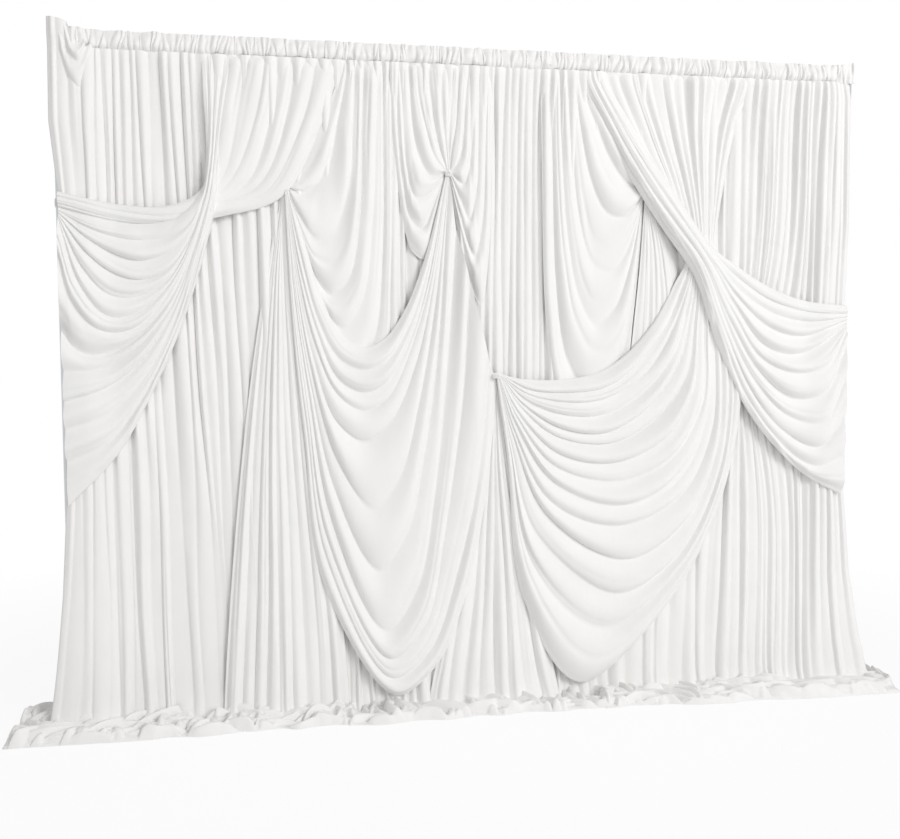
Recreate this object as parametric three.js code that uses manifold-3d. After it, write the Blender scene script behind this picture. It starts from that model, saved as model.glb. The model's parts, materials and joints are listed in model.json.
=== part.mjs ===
// Pipe and drape backdrop: two uprights on steel base plates, a telescoping crossbar that hooks
// into slots at the top of the uprights, and a set of gathered, crossed and swagged drapes.
// Millimetres, +X to the right, +Z up, the dressed front faces -Y.
// The origin is on the floor, midway between the uprights.
import * as THREE from 'three';
import { mergeVertices } from 'three/addons/utils/BufferGeometryUtils.js';
import Module from 'manifold-3d';

const wasm = await Module();
wasm.setup();

// Clearances and cutters
const gap = 0.3;
const overrun = 2;

// Uprights and their bases
const postSpacing = 2900;
const postRadius = 25.4;
const postWall = 1.65;
const lowerTubeLength = 1220;
const upperTubeLength = 1200;
const plateSide = 340;
const plateThickness = 6;
const plateCorner = 30;
const plateChamfer = 1.2;
const pinLength = 150;
const pinWall = 3;
const pinFloor = 14;
const pinClearance = 0.9;
const pinChamfer = 2.5;
const boltRadius = 5.7;
const boltHeadRadius = 11;
const boltHeadRecess = 0.4;
const boltEngagement = 11;

// Spigot that joins the two tubes of an upright, with its rivet and snap button
const spigotHalf = 120;
const spigotWall = 2.5;
const rivetDrop = 60;
const rivetRadius = 2.4;
const rivetHeadRadius = 4.8;
const rivetHeadHeight = 1.4;
const rivetTail = 1.6;
const buttonRise = 60;
const buttonRadius = 4;
const buttonProud = 3.4;
const buttonDome = 2;
const buttonFlangeRadius = 6.2;
const buttonFlange = 1.6;
const springWidth = 11;
const springGauge = 1;
const springLength = 62;
const springTip = 5;

// Slotted head and its cap
const slotWidth = 8;
const slotHeight = 40;
const slotBelowTop = 16.6;
const capPlug = 12;
const capDome = 10;
const capWall = 3;

// Crossbar
const barRadius = 19.05;
const barWall = 1.5;
const sleeveRadius = 15.9;
const sleeveWall = 1.5;
const barLength = 1700;
const barOverlap = 150;
const barEndGap = 6;
const bushingDepth = 26;
const bushingFlange = 3;
const glideLength = 22;
const glideFlange = 4;
const glideWall = 2;
const plugLength = 34;
const plugWall = 1.9;
const hookGauge = 5;
const hookNeck = 24;
const hookLip = 12;
const hookLipLength = 10;
const hookNotchSlack = 0.6;
const hookRadius = 4;
const crossRivetRadius = 3;
const crossRivetHead = 5.4;
const crossRivetDome = 1.4;

// Drapes: the header that the bar runs through, the cloth and its layers
const heading = 27;
const pocketSlack = 8;
const pocketRadius = 21;
const pocketBack = 25;
const headerFront = 27;
const headerEnd = 60;
const headerFrill = 5;
const leftEarRise = 30;
const rightEarRise = 13;
const earInset = 50;
const clothThickness = 2.4;
const pleatBack = 11;
const postFront = 31;
const foldDepth = 22;
const layerPitch = 29;
const hemHeight = 30;
const hemClear = 1.5;
const puddleBack = 32;
const puddleFrontInset = 4;
const puddleSideInset = 14;
const puddleEdge = 12;
const puddleWave = 9;
const panelJoint = 480;
const panelWeld = 6;
const edgeFolds = 4;
const flareHeight = 900;
const flareWidth = 240;
const leftFlare = 32;
const rightFlare = 88;
const tieHeight = 34;
const tieGauge = 2.4;
const fanGather = 40;
const bowGather = 15;
const bandRadius = 17;
const bandGauge = 1.8;

// Facets round a full circle
const roundSteps = 36;
const smallSteps = 16;
const bandSteps = 6;
const springSteps = 18;
const plateCornerSteps = 6;
const tangSteps = 5;
const hookSteps = 4;
const pocketSteps = 8;

// Pleats, folds and rows of points that draw the cloth
const backPleats = 8;
const hemColumns = 11;
const drapeRows = 8;
const bowRows = 5;
const cowlRows = 7;
const fanRows = 5;
const fineSteps = 24;
const leftTieShare = 0.76;
const rightTieShare = 0.6;

// Places worked out from the sizes above
const postX = postSpacing / 2;
const postInner = postRadius - postWall;
const lowerBottom = plateThickness + gap;
const lowerTop = lowerBottom + lowerTubeLength;
const upperBottom = lowerTop + gap;
const postTop = upperBottom + upperTubeLength;
const slotTop = postTop - slotBelowTop;
const slotBottom = slotTop - slotHeight;
const spigotRadius = postInner - gap;
const spigotInner = spigotRadius - spigotWall;
const pinRadius = postInner - pinClearance;
const boltHeadTop = boltHeadRecess + boltHeadRadius - boltRadius + 2 * gap;
// The flat flange of the snap button stays clear of the round wall of the spigot
const flangeTop = Math.sqrt(spigotInner ** 2 - buttonFlangeRadius ** 2) - gap;
const springFront = flangeTop - buttonFlange - gap;
const springBack = -Math.sqrt(spigotInner ** 2 - (springWidth / 2) ** 2) + gap;
// The flat underside of a hook meets the round end of the slot above its lowest point
const slotSeat = slotWidth / 2 - Math.sqrt((slotWidth / 2) ** 2 - (hookGauge / 2) ** 2);
const neckBottom = slotBottom + slotSeat + gap;
const barAxis = neckBottom + hookNeck / 2;
const barInner = barRadius - barWall;
const sleeveInner = sleeveRadius - sleeveWall;
const barStart = postRadius + barEndGap;
const drapeTop = barAxis + barRadius + heading;
const drapeHalf = postX + postRadius;
const headerBottom = barAxis - barRadius - pocketSlack;

// Materials
const steel = { color: 0x3b3d40, roughness: 0.55, metalness: 0.7 };
const aluminium = { color: 0xc9ccd0, roughness: 0.35, metalness: 0.9 };
const zinc = { color: 0xb9bcc0, roughness: 0.4, metalness: 0.9 };
const plastic = { color: 0x2a2b2d, roughness: 0.6, metalness: 0 };
const cloth = { color: 0xf4f3f1, roughness: 0.75, metalness: 0 };

const backdrop = new THREE.Group();

function add(name, geometry, finish, x = 0, y = 0, z = 0) {
  const closed = fromSolid(solid(geometry));
  const mesh = new THREE.Mesh(closed, new THREE.MeshStandardMaterial({ ...finish, side: THREE.DoubleSide }));
  mesh.name = name;
  mesh.position.set(x, y, z);
  backdrop.add(mesh);
  return mesh;
}

function solid(geometry) {
  const bare = geometry.clone();
  for (const key of Object.keys(bare.attributes)) if (key !== 'position') bare.deleteAttribute(key);
  const merged = mergeVertices(bare);
  const corners = [...merged.index.array];
  const build = (order) => {
    const triangles = [];
    for (let i = 0; i < corners.length; i += 3) {
      const [a, b, c] = order.map((k) => corners[i + k]);
      if (a !== b && b !== c && c !== a) triangles.push(a, b, c);
    }
    return new wasm.Manifold(new wasm.Mesh({
      numProp: 3,
      vertProperties: Float32Array.from(merged.attributes.position.array),
      triVerts: Uint32Array.from(triangles),
    }));
  };
  const body = build([0, 1, 2]);
  return body.volume() < 0 ? build([0, 2, 1]) : body;
}

function fromSolid(body) {
  const mesh = body.getMesh();
  const geometry = new THREE.BufferGeometry();
  geometry.setAttribute('position', new THREE.BufferAttribute(Float32Array.from(mesh.vertProperties),
    mesh.numProp));
  geometry.setIndex(new THREE.BufferAttribute(Uint32Array.from(mesh.triVerts), 1));
  geometry.computeVertexNormals();
  return geometry;
}

function cut(geometry, ...cutters) {
  return fromSolid(cutters.reduce((body, cutter) => body.subtract(solid(cutter)), solid(geometry)));
}

function join(...pieces) {
  return fromSolid(pieces.map(solid).reduce((body, piece) => body.add(piece)));
}

// A turned piece about Z from [radius, z] corners that start and end on the axis or close on themselves
function turned(corners, steps = roundSteps) {
  const points = corners.map(([radius, z]) => new THREE.Vector2(radius, z));
  return new THREE.LatheGeometry(points, steps).rotateX(Math.PI / 2);
}

function ring(inner, outer, bottom, top, steps = roundSteps) {
  return turned([[inner, bottom], [outer, bottom], [outer, top], [inner, top], [inner, bottom]], steps);
}

function rod(radius, bottom, top, steps = smallSteps) {
  return turned([[0, bottom], [radius, bottom], [radius, top], [0, top]], steps);
}

function block(width, depth, height, x = 0, y = 0, z = 0) {
  return new THREE.BoxGeometry(width, depth, height).translate(x, y, z);
}

function alongX(geometry) {
  return geometry.rotateY(Math.PI / 2);
}

// +Z of a turned piece becomes +Y, the back of the stand
function alongY(geometry) {
  return geometry.rotateX(-Math.PI / 2);
}

function basePlate() {
  const half = plateSide / 2 - plateChamfer;
  const corner = plateCorner - plateChamfer;
  const inner = half - corner;
  const outline = new THREE.Shape();
  outline.moveTo(-inner, -half);
  outline.lineTo(inner, -half);
  outline.absarc(inner, -inner, corner, -Math.PI / 2, 0);
  outline.lineTo(half, inner);
  outline.absarc(inner, inner, corner, 0, Math.PI / 2);
  outline.lineTo(-inner, half);
  outline.absarc(-inner, inner, corner, Math.PI / 2, Math.PI);
  outline.lineTo(-half, -inner);
  outline.absarc(-inner, -inner, corner, Math.PI, 3 * Math.PI / 2);
  const plate = new THREE.ExtrudeGeometry(outline, {
    depth: plateThickness - 2 * plateChamfer,
    bevelEnabled: true,
    bevelThickness: plateChamfer,
    bevelSize: plateChamfer,
    bevelSegments: 1,
    curveSegments: plateCornerSteps,
  }).translate(0, 0, plateChamfer);
  const sinkRadius = boltHeadRadius + 2 * gap;
  const holeRadius = boltRadius + 2 * gap;
  const countersink = turned([
    [0, -overrun], [sinkRadius, -overrun], [sinkRadius, boltHeadRecess + gap],
    [holeRadius, boltHeadTop], [holeRadius, plateThickness + overrun], [0, plateThickness + overrun],
  ], smallSteps);
  return cut(plate, countersink);
}

// Hollow steel pin with a drilled floor that the bolt screws into
function basePin() {
  const bottom = plateThickness + gap;
  const top = bottom + pinLength;
  const inner = pinRadius - pinWall;
  const hole = boltRadius + gap;
  return turned([
    [hole, bottom], [pinRadius, bottom], [pinRadius, top - pinChamfer], [pinRadius - pinChamfer, top],
    [inner, top], [inner, bottom + pinFloor], [hole, bottom + pinFloor], [hole, bottom],
  ]);
}

function pinBolt() {
  return turned([
    [0, boltHeadRecess], [boltHeadRadius, boltHeadRecess + gap], [boltRadius, boltHeadTop],
    [boltRadius, plateThickness + boltEngagement], [0, plateThickness + boltEngagement],
  ], smallSteps);
}

function buttonHole(radius) {
  return alongY(rod(radius, 0, postRadius + overrun)).translate(0, 0, upperBottom + buttonRise);
}

function rivetHole(radius) {
  return alongY(rod(radius, 0, postRadius + overrun)).translate(0, 0, lowerTop - rivetDrop);
}

function lowerTube() {
  return cut(ring(postInner, postRadius, lowerBottom, lowerTop), rivetHole(rivetRadius + gap));
}

// Four upright slots with round ends take the hooks of up to four crossbars
function upperTube() {
  const straight = slotHeight - slotWidth;
  const outline = new THREE.Shape();
  outline.moveTo(slotWidth / 2, -straight / 2);
  outline.lineTo(slotWidth / 2, straight / 2);
  outline.absarc(0, straight / 2, slotWidth / 2, 0, Math.PI);
  outline.lineTo(-slotWidth / 2, -straight / 2);
  outline.absarc(0, -straight / 2, slotWidth / 2, Math.PI, 2 * Math.PI);
  const reach = 2 * (postRadius + overrun);
  const across = new THREE.ExtrudeGeometry(outline, { depth: reach, bevelEnabled: false,
    curveSegments: tangSteps })
    .translate(0, 0, -reach / 2).rotateX(Math.PI / 2).translate(0, 0, (slotTop + slotBottom) / 2);
  const along = across.clone().rotateZ(Math.PI / 2);
  return cut(ring(postInner, postRadius, upperBottom, postTop), across, along,
    buttonHole(buttonRadius + gap));
}

function spigot() {
  return cut(ring(spigotInner, spigotRadius, lowerTop - spigotHalf, lowerTop + spigotHalf),
    buttonHole(buttonRadius + gap), rivetHole(rivetRadius + gap));
}

function spigotRivet() {
  const seat = postRadius + gap;
  const domeShare = 0.6;
  return alongY(turned([
    [0, spigotInner - rivetTail], [rivetRadius, spigotInner - rivetTail], [rivetRadius, seat],
    [rivetHeadRadius, seat], [rivetHeadRadius * domeShare, seat + rivetHeadHeight],
      [0, seat + rivetHeadHeight],
  ], smallSteps)).translate(0, 0, lowerTop - rivetDrop);
}

function snapButton() {
  const tip = postRadius + buttonProud;
  return alongY(turned([
    [0, flangeTop - buttonFlange], [buttonFlangeRadius, flangeTop - buttonFlange],
      [buttonFlangeRadius, flangeTop],
    [buttonRadius, flangeTop], [buttonRadius, tip - buttonDome], [buttonRadius / 2, tip], [0, tip],
  ], smallSteps)).translate(0, 0, upperBottom + buttonRise);
}

// Leaf bent into a hairpin: one leg behind the button, the other against the far wall of the spigot
function buttonSpring() {
  const half = springGauge / 2;
  const frontLeg = springFront - half;
  const backLeg = springBack + half;
  const route = [[frontLeg, springTip * 2], [frontLeg, 0], [frontLeg, -springTip],
    [backLeg + springTip * 2, -springLength],
    [backLeg + springTip, -springLength - springTip], [backLeg, -springLength],
      [backLeg, springTip - springLength],
    [backLeg, 0]];
  const centre = new THREE.CatmullRomCurve3(
    route.map(([y, z]) => new THREE.Vector3(0, y, z)), false, 'centripetal');
  const rows = centre.getSpacedPoints(springSteps);
  const outline = [];
  const back = [];
  rows.forEach((point, i) => {
    const before = rows[Math.max(i - 1, 0)];
    const after = rows[Math.min(i + 1, springSteps)];
    const along = new THREE.Vector2(after.y - before.y, after.z - before.z).normalize();
    outline.push(new THREE.Vector2(point.y - along.y * half, point.z + along.x * half));
    back.unshift(new THREE.Vector2(point.y + along.y * half, point.z - along.x * half));
  });
  const shape = new THREE.Shape([...outline, ...back]);
  // The outline is drawn in Y and Z, so its extrusion is turned to run along X
  const matrix = new THREE.Matrix4().set(0, 0, 1, -springWidth / 2, 1, 0, 0, 0, 0, 1, 0, 0, 0, 0, 0, 1);
  return new THREE.ExtrudeGeometry(shape, { depth: springWidth, bevelEnabled: false })
    .applyMatrix4(matrix).translate(0, 0, upperBottom + buttonRise);
}

function topCap() {
  const plug = postInner - gap;
  const bottom = postTop - capPlug;
  const seat = postTop + gap;
  const shoulderShare = 0.45;
  const crownShare = 0.7;
  return turned([
    [0, bottom + capPlug], [plug - capWall, bottom + capPlug], [plug - capWall, bottom], [plug, bottom],
      [plug, seat],
    [postRadius, seat], [postRadius, seat + capDome * shoulderShare],
      [postRadius * crownShare, seat + capDome],
    [0, seat + capDome],
  ]);
}

function postTie(height) {
  return ring(postRadius + gap, postRadius + gap + tieGauge, height - tieHeight / 2, height + tieHeight / 2,
    smallSteps * 3 / 2);
}

// Crossbar pieces are made about the axis Z = barAxis with their stand end at the left,
// and the right-hand ones are mirrored
function mirrored(geometry) {
  return geometry.clone().scale(-1, 1, 1);
}

const rivetInset = plugLength / 2;

function crossHole(radius) {
  return alongY(rod(radius, -barRadius - overrun, barRadius + overrun)).translate(rivetInset, 0, 0);
}

function barTube(inner, outer, length) {
  return cut(alongX(ring(inner, outer, 0, length)), crossHole(crossRivetRadius + gap));
}

// Stamped blade: root inside the plug, neck through the slot, lip dropped behind the post wall
function hookBlade(rootHalf) {
  const wallOut = -barEndGap;
  const notchOut = wallOut + hookNotchSlack;
  const notchIn = wallOut - postWall - hookNotchSlack;
  const lipEnd = notchIn - hookLipLength;
  const neck = hookNeck / 2;
  const blade = new THREE.Shape();
  blade.moveTo(plugLength, -rootHalf);
  blade.lineTo(plugLength, rootHalf);
  blade.lineTo(gap, rootHalf);
  blade.lineTo(notchOut + hookNotchSlack, neck);
  blade.lineTo(lipEnd + hookRadius, neck);
  blade.absarc(lipEnd + hookRadius, neck - hookRadius, hookRadius, Math.PI / 2, Math.PI);
  blade.lineTo(lipEnd, -neck - hookLip + hookRadius);
  blade.absarc(lipEnd + hookRadius, -neck - hookLip + hookRadius, hookRadius, Math.PI, 3 * Math.PI / 2);
  blade.lineTo(notchIn, -neck - hookLip);
  blade.lineTo(notchIn, -neck);
  blade.lineTo(notchOut, -neck);
  blade.lineTo(notchOut, -rootHalf);
  const sheet = new THREE.ExtrudeGeometry(blade, { depth: hookGauge, bevelEnabled: false,
    curveSegments: hookSteps })
    .translate(0, 0, -hookGauge / 2).rotateX(Math.PI / 2);
  return cut(sheet, crossHole(crossRivetRadius + gap));
}

function endPlug(tubeInner, rootHalf) {
  const outer = tubeInner - gap;
  const slot = block(2 * plugLength + overrun, hookGauge + 2 * gap, 2 * (rootHalf + gap), plugLength);
  return cut(alongX(rod(outer, gap, plugLength, roundSteps)), slot, crossHole(crossRivetRadius + gap));
}

function crossRivet(radius) {
  const seat = radius + gap;
  const crown = seat + crossRivetDome;
  const flat = crossRivetHead / 2;
  return alongY(turned([
    [0, -crown], [flat, -crown], [crossRivetHead, -seat], [crossRivetRadius, -seat],
    [crossRivetRadius, seat], [crossRivetHead, seat], [flat, crown], [0, crown],
  ], smallSteps)).translate(rivetInset, 0, 0);
}

function barBushing() {
  const bore = sleeveRadius + gap;
  const outer = barInner - gap;
  return alongX(turned([
    [bore, -bushingDepth], [outer, -bushingDepth], [outer, gap], [barRadius, gap],
      [barRadius, gap + bushingFlange],
    [bore, gap + bushingFlange], [bore, -bushingDepth],
  ]));
}

function innerGlide() {
  const shank = sleeveInner - gap;
  const outer = barInner - gap;
  return alongX(turned([
    [shank - glideWall, -glideFlange - gap], [outer, -glideFlange - gap], [outer, -gap], [shank, -gap],
    [shank, glideLength], [shank - glideWall, glideLength], [shank - glideWall, -glideFlange - gap],
  ]));
}

// Cloth. A drape is drawn by its creases: lines of [x, z] places, as shares of the half width and
// of the height of the drapes, in order across the cloth. Between two creases the cloth stands out
// in one fold. Depth is counted forward from the plane of the uprights.
function evenly(points, steps) {
  const path = new THREE.CurvePath();
  points.slice(1).forEach((point, i) => path.add(new THREE.LineCurve3(points[i], point)));
  return path.getSpacedPoints(steps);
}

// Rows of points along a crease. All the creases of a drape pass their waist, the point with that
// number, at the same row, so that the rows stay square to the cloth where it is drawn together.
function spaced(line, rows, [waist, waistRow]) {
  const points = line.map(([x, z]) => new THREE.Vector3(x * drapeHalf, 0, z * drapeTop));
  const crease = new THREE.CatmullRomCurve3(points, false, 'centripetal');
  if (!waist) return crease.getSpacedPoints(rows);
  const fine = crease.getPoints((points.length - 1) * fineSteps);
  const above = evenly(fine.slice(0, waist * fineSteps + 1), waistRow);
  return [...above, ...evenly(fine.slice(waist * fineSteps), rows - waistRow).slice(1)];
}

// Closed slab between a front and a back grid of points
function slab(front, back) {
  const columns = front.length;
  const rows = front[0].length;
  const points = [...front.flat(), ...back.flat()];
  const positions = points.flatMap((point) => [point.x, point.y, point.z]);
  const at = (side, i, j) => side * columns * rows + i * rows + j;
  const index = [];
  const quad = (a, b, c, d) => index.push(a, b, c, a, c, d);
  for (let i = 0; i < columns - 1; i += 1) {
    for (let j = 0; j < rows - 1; j += 1) {
      quad(at(0, i, j), at(0, i, j + 1), at(0, i + 1, j + 1), at(0, i + 1, j));
      quad(at(1, i, j), at(1, i + 1, j), at(1, i + 1, j + 1), at(1, i, j + 1));
    }
    quad(at(0, i, 0), at(0, i + 1, 0), at(1, i + 1, 0), at(1, i, 0));
    quad(at(0, i, rows - 1), at(1, i, rows - 1), at(1, i + 1, rows - 1), at(0, i + 1, rows - 1));
  }
  for (let j = 0; j < rows - 1; j += 1) {
    quad(at(0, 0, j), at(1, 0, j), at(1, 0, j + 1), at(0, 0, j + 1));
    quad(at(0, columns - 1, j), at(0, columns - 1, j + 1), at(1, columns - 1, j + 1), at(1, columns - 1, j));
  }
  const geometry = new THREE.BufferGeometry();
  geometry.setAttribute('position', new THREE.Float32BufferAttribute(positions, 3));
  geometry.setIndex(index);
  return geometry;
}

// depthShares: [share of the way along, depth in layers] stops. Layer 0 lies on the header.
function layerDepth(stops, share) {
  const after = stops.findIndex(([place]) => place >= share);
  if (after <= 0) return stops[Math.max(after, 0)][1];
  const [from, low] = stops[after - 1];
  const [to, high] = stops[after];
  const part = (share - from) / (to - from);
  return low + (high - low) * part * part * (3 - 2 * part);
}

const foldShare = 0.42;
const flatShare = 0.06;

function drape(creaseShares, rows, depthShares, waist = [0, 0]) {
  const creases = creaseShares.map((line) => spaced(line, rows, waist));
  const front = [];
  const back = [];
  const column = (place, lift) => {
    const behind = [];
    const ahead = [];
    for (let j = 0; j <= rows; j += 1) {
      const share = j / rows;
      const [point, width] = place(j);
      const swell = Math.min(1, share / flatShare, (1 - share) / flatShare);
      const layer = headerFront + gap + layerPitch * layerDepth(depthShares, share);
      const depth = layer + lift * swell * Math.min(foldDepth, foldShare * width);
      behind.push(new THREE.Vector3(point.x, -depth, point.z));
      ahead.push(new THREE.Vector3(point.x, -depth - clothThickness, point.z));
    }
    back.push(behind);
    front.push(ahead);
  };
  creases.forEach((crease, k) => {
    column((j) => [crease[j], 0], 0);
    if (k === creases.length - 1) return;
    const next = creases[k + 1];
    column((j) => [crease[j].clone().lerp(next[j], 1 / 2), crease[j].distanceTo(next[j])], 1);
  });
  return slab(front, back);
}

const degree = Math.PI / 180;

// Ends of creases gathered on a small arc round a tie, so that the cloth fans out of it
function gathered(place, radius, fromAngle, toAngle, share) {
  const angle = (fromAngle + (toAngle - fromAngle) * share) * degree;
  return [place[0] + radius * Math.cos(angle) / drapeHalf, place[1] + radius * Math.sin(angle) / drapeTop];
}

function blendLines(first, last, share) {
  return first.map(([x, z], i) => [x + (last[i][0] - x) * share, z + (last[i][1] - z) * share]);
}

// Top of a crease that hangs from the bar, starting on the header
const onHeaderShare = 0.99;
const underHeaderShare = 0.965;

function fromBar(x) {
  return [[x, onHeaderShare], [x, underHeaderShare]];
}

const leftGatherShares = [-0.472, 0.787];
const bowGatherShares = [-0.076, 0.815];
const swagGatherShares = [0.045, 0.513];
const rightGatherShares = [0.434, 0.795];

// Left crossed drape: off the bar, through the crossing, then fanned out to the left upright
const leftCrossFirstShares = [...fromBar(-0.672), [-0.667, 0.88], [-0.664, 0.81], [-0.668, 0.775]];
const leftCrossLastShares = [...fromBar(-0.592), [-0.616, 0.88], [-0.63, 0.81], [-0.638, 0.765]];
const leftCrossFanShares = [
  [[-0.69, 0.752], [-0.74, 0.733], [-0.81, 0.727], [-0.88, 0.732], [-0.94, 0.741], [-0.988, 0.75]],
  [[-0.69, 0.738], [-0.74, 0.716], [-0.81, 0.708], [-0.88, 0.715], [-0.93, 0.727], [-0.988, 0.747]],
  [[-0.692, 0.725], [-0.74, 0.695], [-0.81, 0.682], [-0.87, 0.69], [-0.93, 0.71], [-0.988, 0.744]],
  [[-0.693, 0.714], [-0.745, 0.67], [-0.81, 0.652], [-0.87, 0.66], [-0.93, 0.69], [-0.988, 0.741]],
  [[-0.694, 0.706], [-0.75, 0.652], [-0.82, 0.628], [-0.88, 0.632], [-0.94, 0.67], [-0.989, 0.738]],
  [[-0.694, 0.7], [-0.755, 0.637], [-0.825, 0.603], [-0.885, 0.6], [-0.945, 0.645], [-0.99, 0.735]],
  [[-0.694, 0.694], [-0.755, 0.627], [-0.83, 0.582], [-0.9, 0.58], [-0.96, 0.62], [-0.991, 0.69]],
  [[-0.693, 0.689], [-0.75, 0.619], [-0.825, 0.568], [-0.9, 0.543], [-0.955, 0.553], [-0.99, 0.59]],
  [[-0.692, 0.684], [-0.745, 0.611], [-0.82, 0.555], [-0.9, 0.527], [-0.985, 0.525]],
  [[-0.69, 0.68], [-0.74, 0.603], [-0.81, 0.538], [-0.89, 0.5], [-0.985, 0.482]],
  [[-0.687, 0.676], [-0.735, 0.594], [-0.81, 0.512], [-0.89, 0.463], [-0.985, 0.443]],
  [[-0.682, 0.674], [-0.728, 0.588], [-0.81, 0.483], [-0.89, 0.42], [-0.985, 0.393]],
  [[-0.672, 0.68], [-0.713, 0.6], [-0.78, 0.505], [-0.87, 0.407], [-0.985, 0.335]],
];

// Left belt: swept off the bar to the left, behind the crossing and across to the left upright
const leftBeltShares = [
  [...fromBar(-0.577), [-0.59, 0.89], [-0.622, 0.81], [-0.66, 0.774], [-0.75, 0.756], [-0.87, 0.758],
    [-0.988, 0.772]],
  [...fromBar(-0.55), [-0.565, 0.89], [-0.606, 0.808], [-0.655, 0.77], [-0.75, 0.752], [-0.87, 0.754],
    [-0.988, 0.769]],
  [...fromBar(-0.517), [-0.535, 0.89], [-0.59, 0.802], [-0.65, 0.766], [-0.75, 0.748], [-0.87, 0.75],
    [-0.988, 0.766]],
  [...fromBar(-0.485), [-0.502, 0.89], [-0.56, 0.796], [-0.645, 0.762], [-0.75, 0.744], [-0.87, 0.747],
    [-0.988, 0.763]],
  [...fromBar(-0.445), [-0.466, 0.89], [-0.535, 0.79], [-0.638, 0.758], [-0.75, 0.7405], [-0.87, 0.7435],
    [-0.988, 0.76]],
  [...fromBar(-0.4), [-0.43, 0.88], [-0.51, 0.785], [-0.632, 0.753], [-0.75, 0.737], [-0.87, 0.74],
    [-0.988, 0.757]],
  [...fromBar(-0.35), [-0.393, 0.88], [-0.485, 0.778], [-0.625, 0.747], [-0.75, 0.7335], [-0.87, 0.7365],
    [-0.988, 0.754]],
];

// Left cowl: from the bar in deepening curves to the gather beside the belt
const leftCowlShares = [
  [...fromBar(-0.335), [-0.36, 0.915], [-0.402, 0.86], [-0.438, 0.822]],
  [...fromBar(-0.322), [-0.342, 0.9], [-0.37, 0.822], [-0.4, 0.786], [-0.435, 0.779]],
  [...fromBar(-0.305), [-0.313, 0.88], [-0.328, 0.79], [-0.36, 0.727], [-0.4, 0.713], [-0.438, 0.748]],
  [...fromBar(-0.28), [-0.284, 0.88], [-0.295, 0.76], [-0.325, 0.662], [-0.365, 0.638], [-0.408, 0.67],
    [-0.447, 0.74]],
  [...fromBar(-0.252), [-0.254, 0.88], [-0.262, 0.74], [-0.288, 0.63], [-0.337, 0.588], [-0.392, 0.63],
    [-0.447, 0.725]],
];

// Bow drape: from the bar into the gather at the bow, with cowl folds at both sides of it
const bowShares = [
  [...fromBar(-0.222), [-0.218, 0.88], [-0.208, 0.77], [-0.18, 0.688], [-0.148, 0.69], [-0.112, 0.75]],
  [...fromBar(-0.207), [-0.203, 0.88], [-0.193, 0.79], [-0.168, 0.723], [-0.14, 0.726], [-0.11, 0.77]],
  [...fromBar(-0.192), [-0.187, 0.9], [-0.177, 0.825], [-0.157, 0.783], [-0.125, 0.788]],
  [...fromBar(-0.175), [-0.166, 0.9], [-0.147, 0.842], [-0.12, 0.812]],
  [...fromBar(-0.155), [-0.137, 0.89], [-0.108, 0.84]],
  [...fromBar(-0.128), [-0.111, 0.89], [-0.093, 0.847]],
  [...fromBar(-0.1), [-0.09, 0.89], [-0.081, 0.852]],
  [...fromBar(-0.072), [-0.073, 0.89], [-0.074, 0.852]],
  [...fromBar(-0.047), [-0.056, 0.89], [-0.066, 0.85]],
  [...fromBar(-0.03), [-0.037, 0.9], [-0.045, 0.848], [-0.056, 0.828]],
  [...fromBar(-0.013), [-0.016, 0.9], [-0.023, 0.83], [-0.038, 0.802]],
  [...fromBar(0.003), [0.002, 0.88], [-0.004, 0.785], [-0.022, 0.742], [-0.042, 0.77]],
  [...fromBar(0.02), [0.018, 0.86], [0.011, 0.745], [-0.008, 0.69], [-0.036, 0.735]],
];

// Centre drape: swagged from the left gather to the bow, and lower down to the centre gather
const centreSwagShares = [
  [[-0.43, 0.705], [-0.385, 0.617], [-0.335, 0.565], [-0.285, 0.552], [-0.235, 0.565], [-0.185, 0.607],
    [-0.14, 0.675]],
  [[-0.438, 0.69], [-0.395, 0.595], [-0.345, 0.54], [-0.288, 0.526], [-0.235, 0.54], [-0.18, 0.59],
    [-0.135, 0.665]],
  [[-0.442, 0.68], [-0.4, 0.578], [-0.35, 0.515], [-0.288, 0.497], [-0.232, 0.512], [-0.177, 0.57],
    [-0.131, 0.65]],
  [[-0.445, 0.67], [-0.405, 0.56], [-0.352, 0.485], [-0.288, 0.462], [-0.228, 0.482], [-0.172, 0.548],
    [-0.127, 0.64]],
  [[-0.447, 0.66], [-0.41, 0.54], [-0.353, 0.44], [-0.285, 0.41], [-0.22, 0.442], [-0.164, 0.52],
    [-0.121, 0.625]],
  [[-0.449, 0.65], [-0.414, 0.52], [-0.354, 0.385], [-0.268, 0.312], [-0.205, 0.352], [-0.152, 0.46],
    [-0.113, 0.59]],
  [[-0.451, 0.64], [-0.417, 0.5], [-0.363, 0.345], [-0.25, 0.212], [-0.18, 0.262], [-0.133, 0.39],
    [-0.1, 0.56]],
  [[-0.453, 0.63], [-0.42, 0.48], [-0.37, 0.3], [-0.235, 0.122], [-0.155, 0.18], [-0.105, 0.33],
    [-0.073, 0.55], [-0.058, 0.735]],
  [[-0.455, 0.62], [-0.424, 0.46], [-0.377, 0.27], [-0.228, 0.085], [-0.14, 0.13], [-0.083, 0.27],
    [-0.04, 0.46], [-0.022, 0.65]],
  [[-0.457, 0.61], [-0.428, 0.44], [-0.383, 0.24], [-0.222, 0.052], [-0.125, 0.095], [-0.06, 0.22],
    [-0.01, 0.38], [0.015, 0.56]],
  [[-0.459, 0.6], [-0.432, 0.42], [-0.39, 0.21], [-0.215, 0.028], [-0.11, 0.07], [-0.04, 0.18],
    [0.01, 0.34], [0.036, 0.495]],
];

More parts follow.
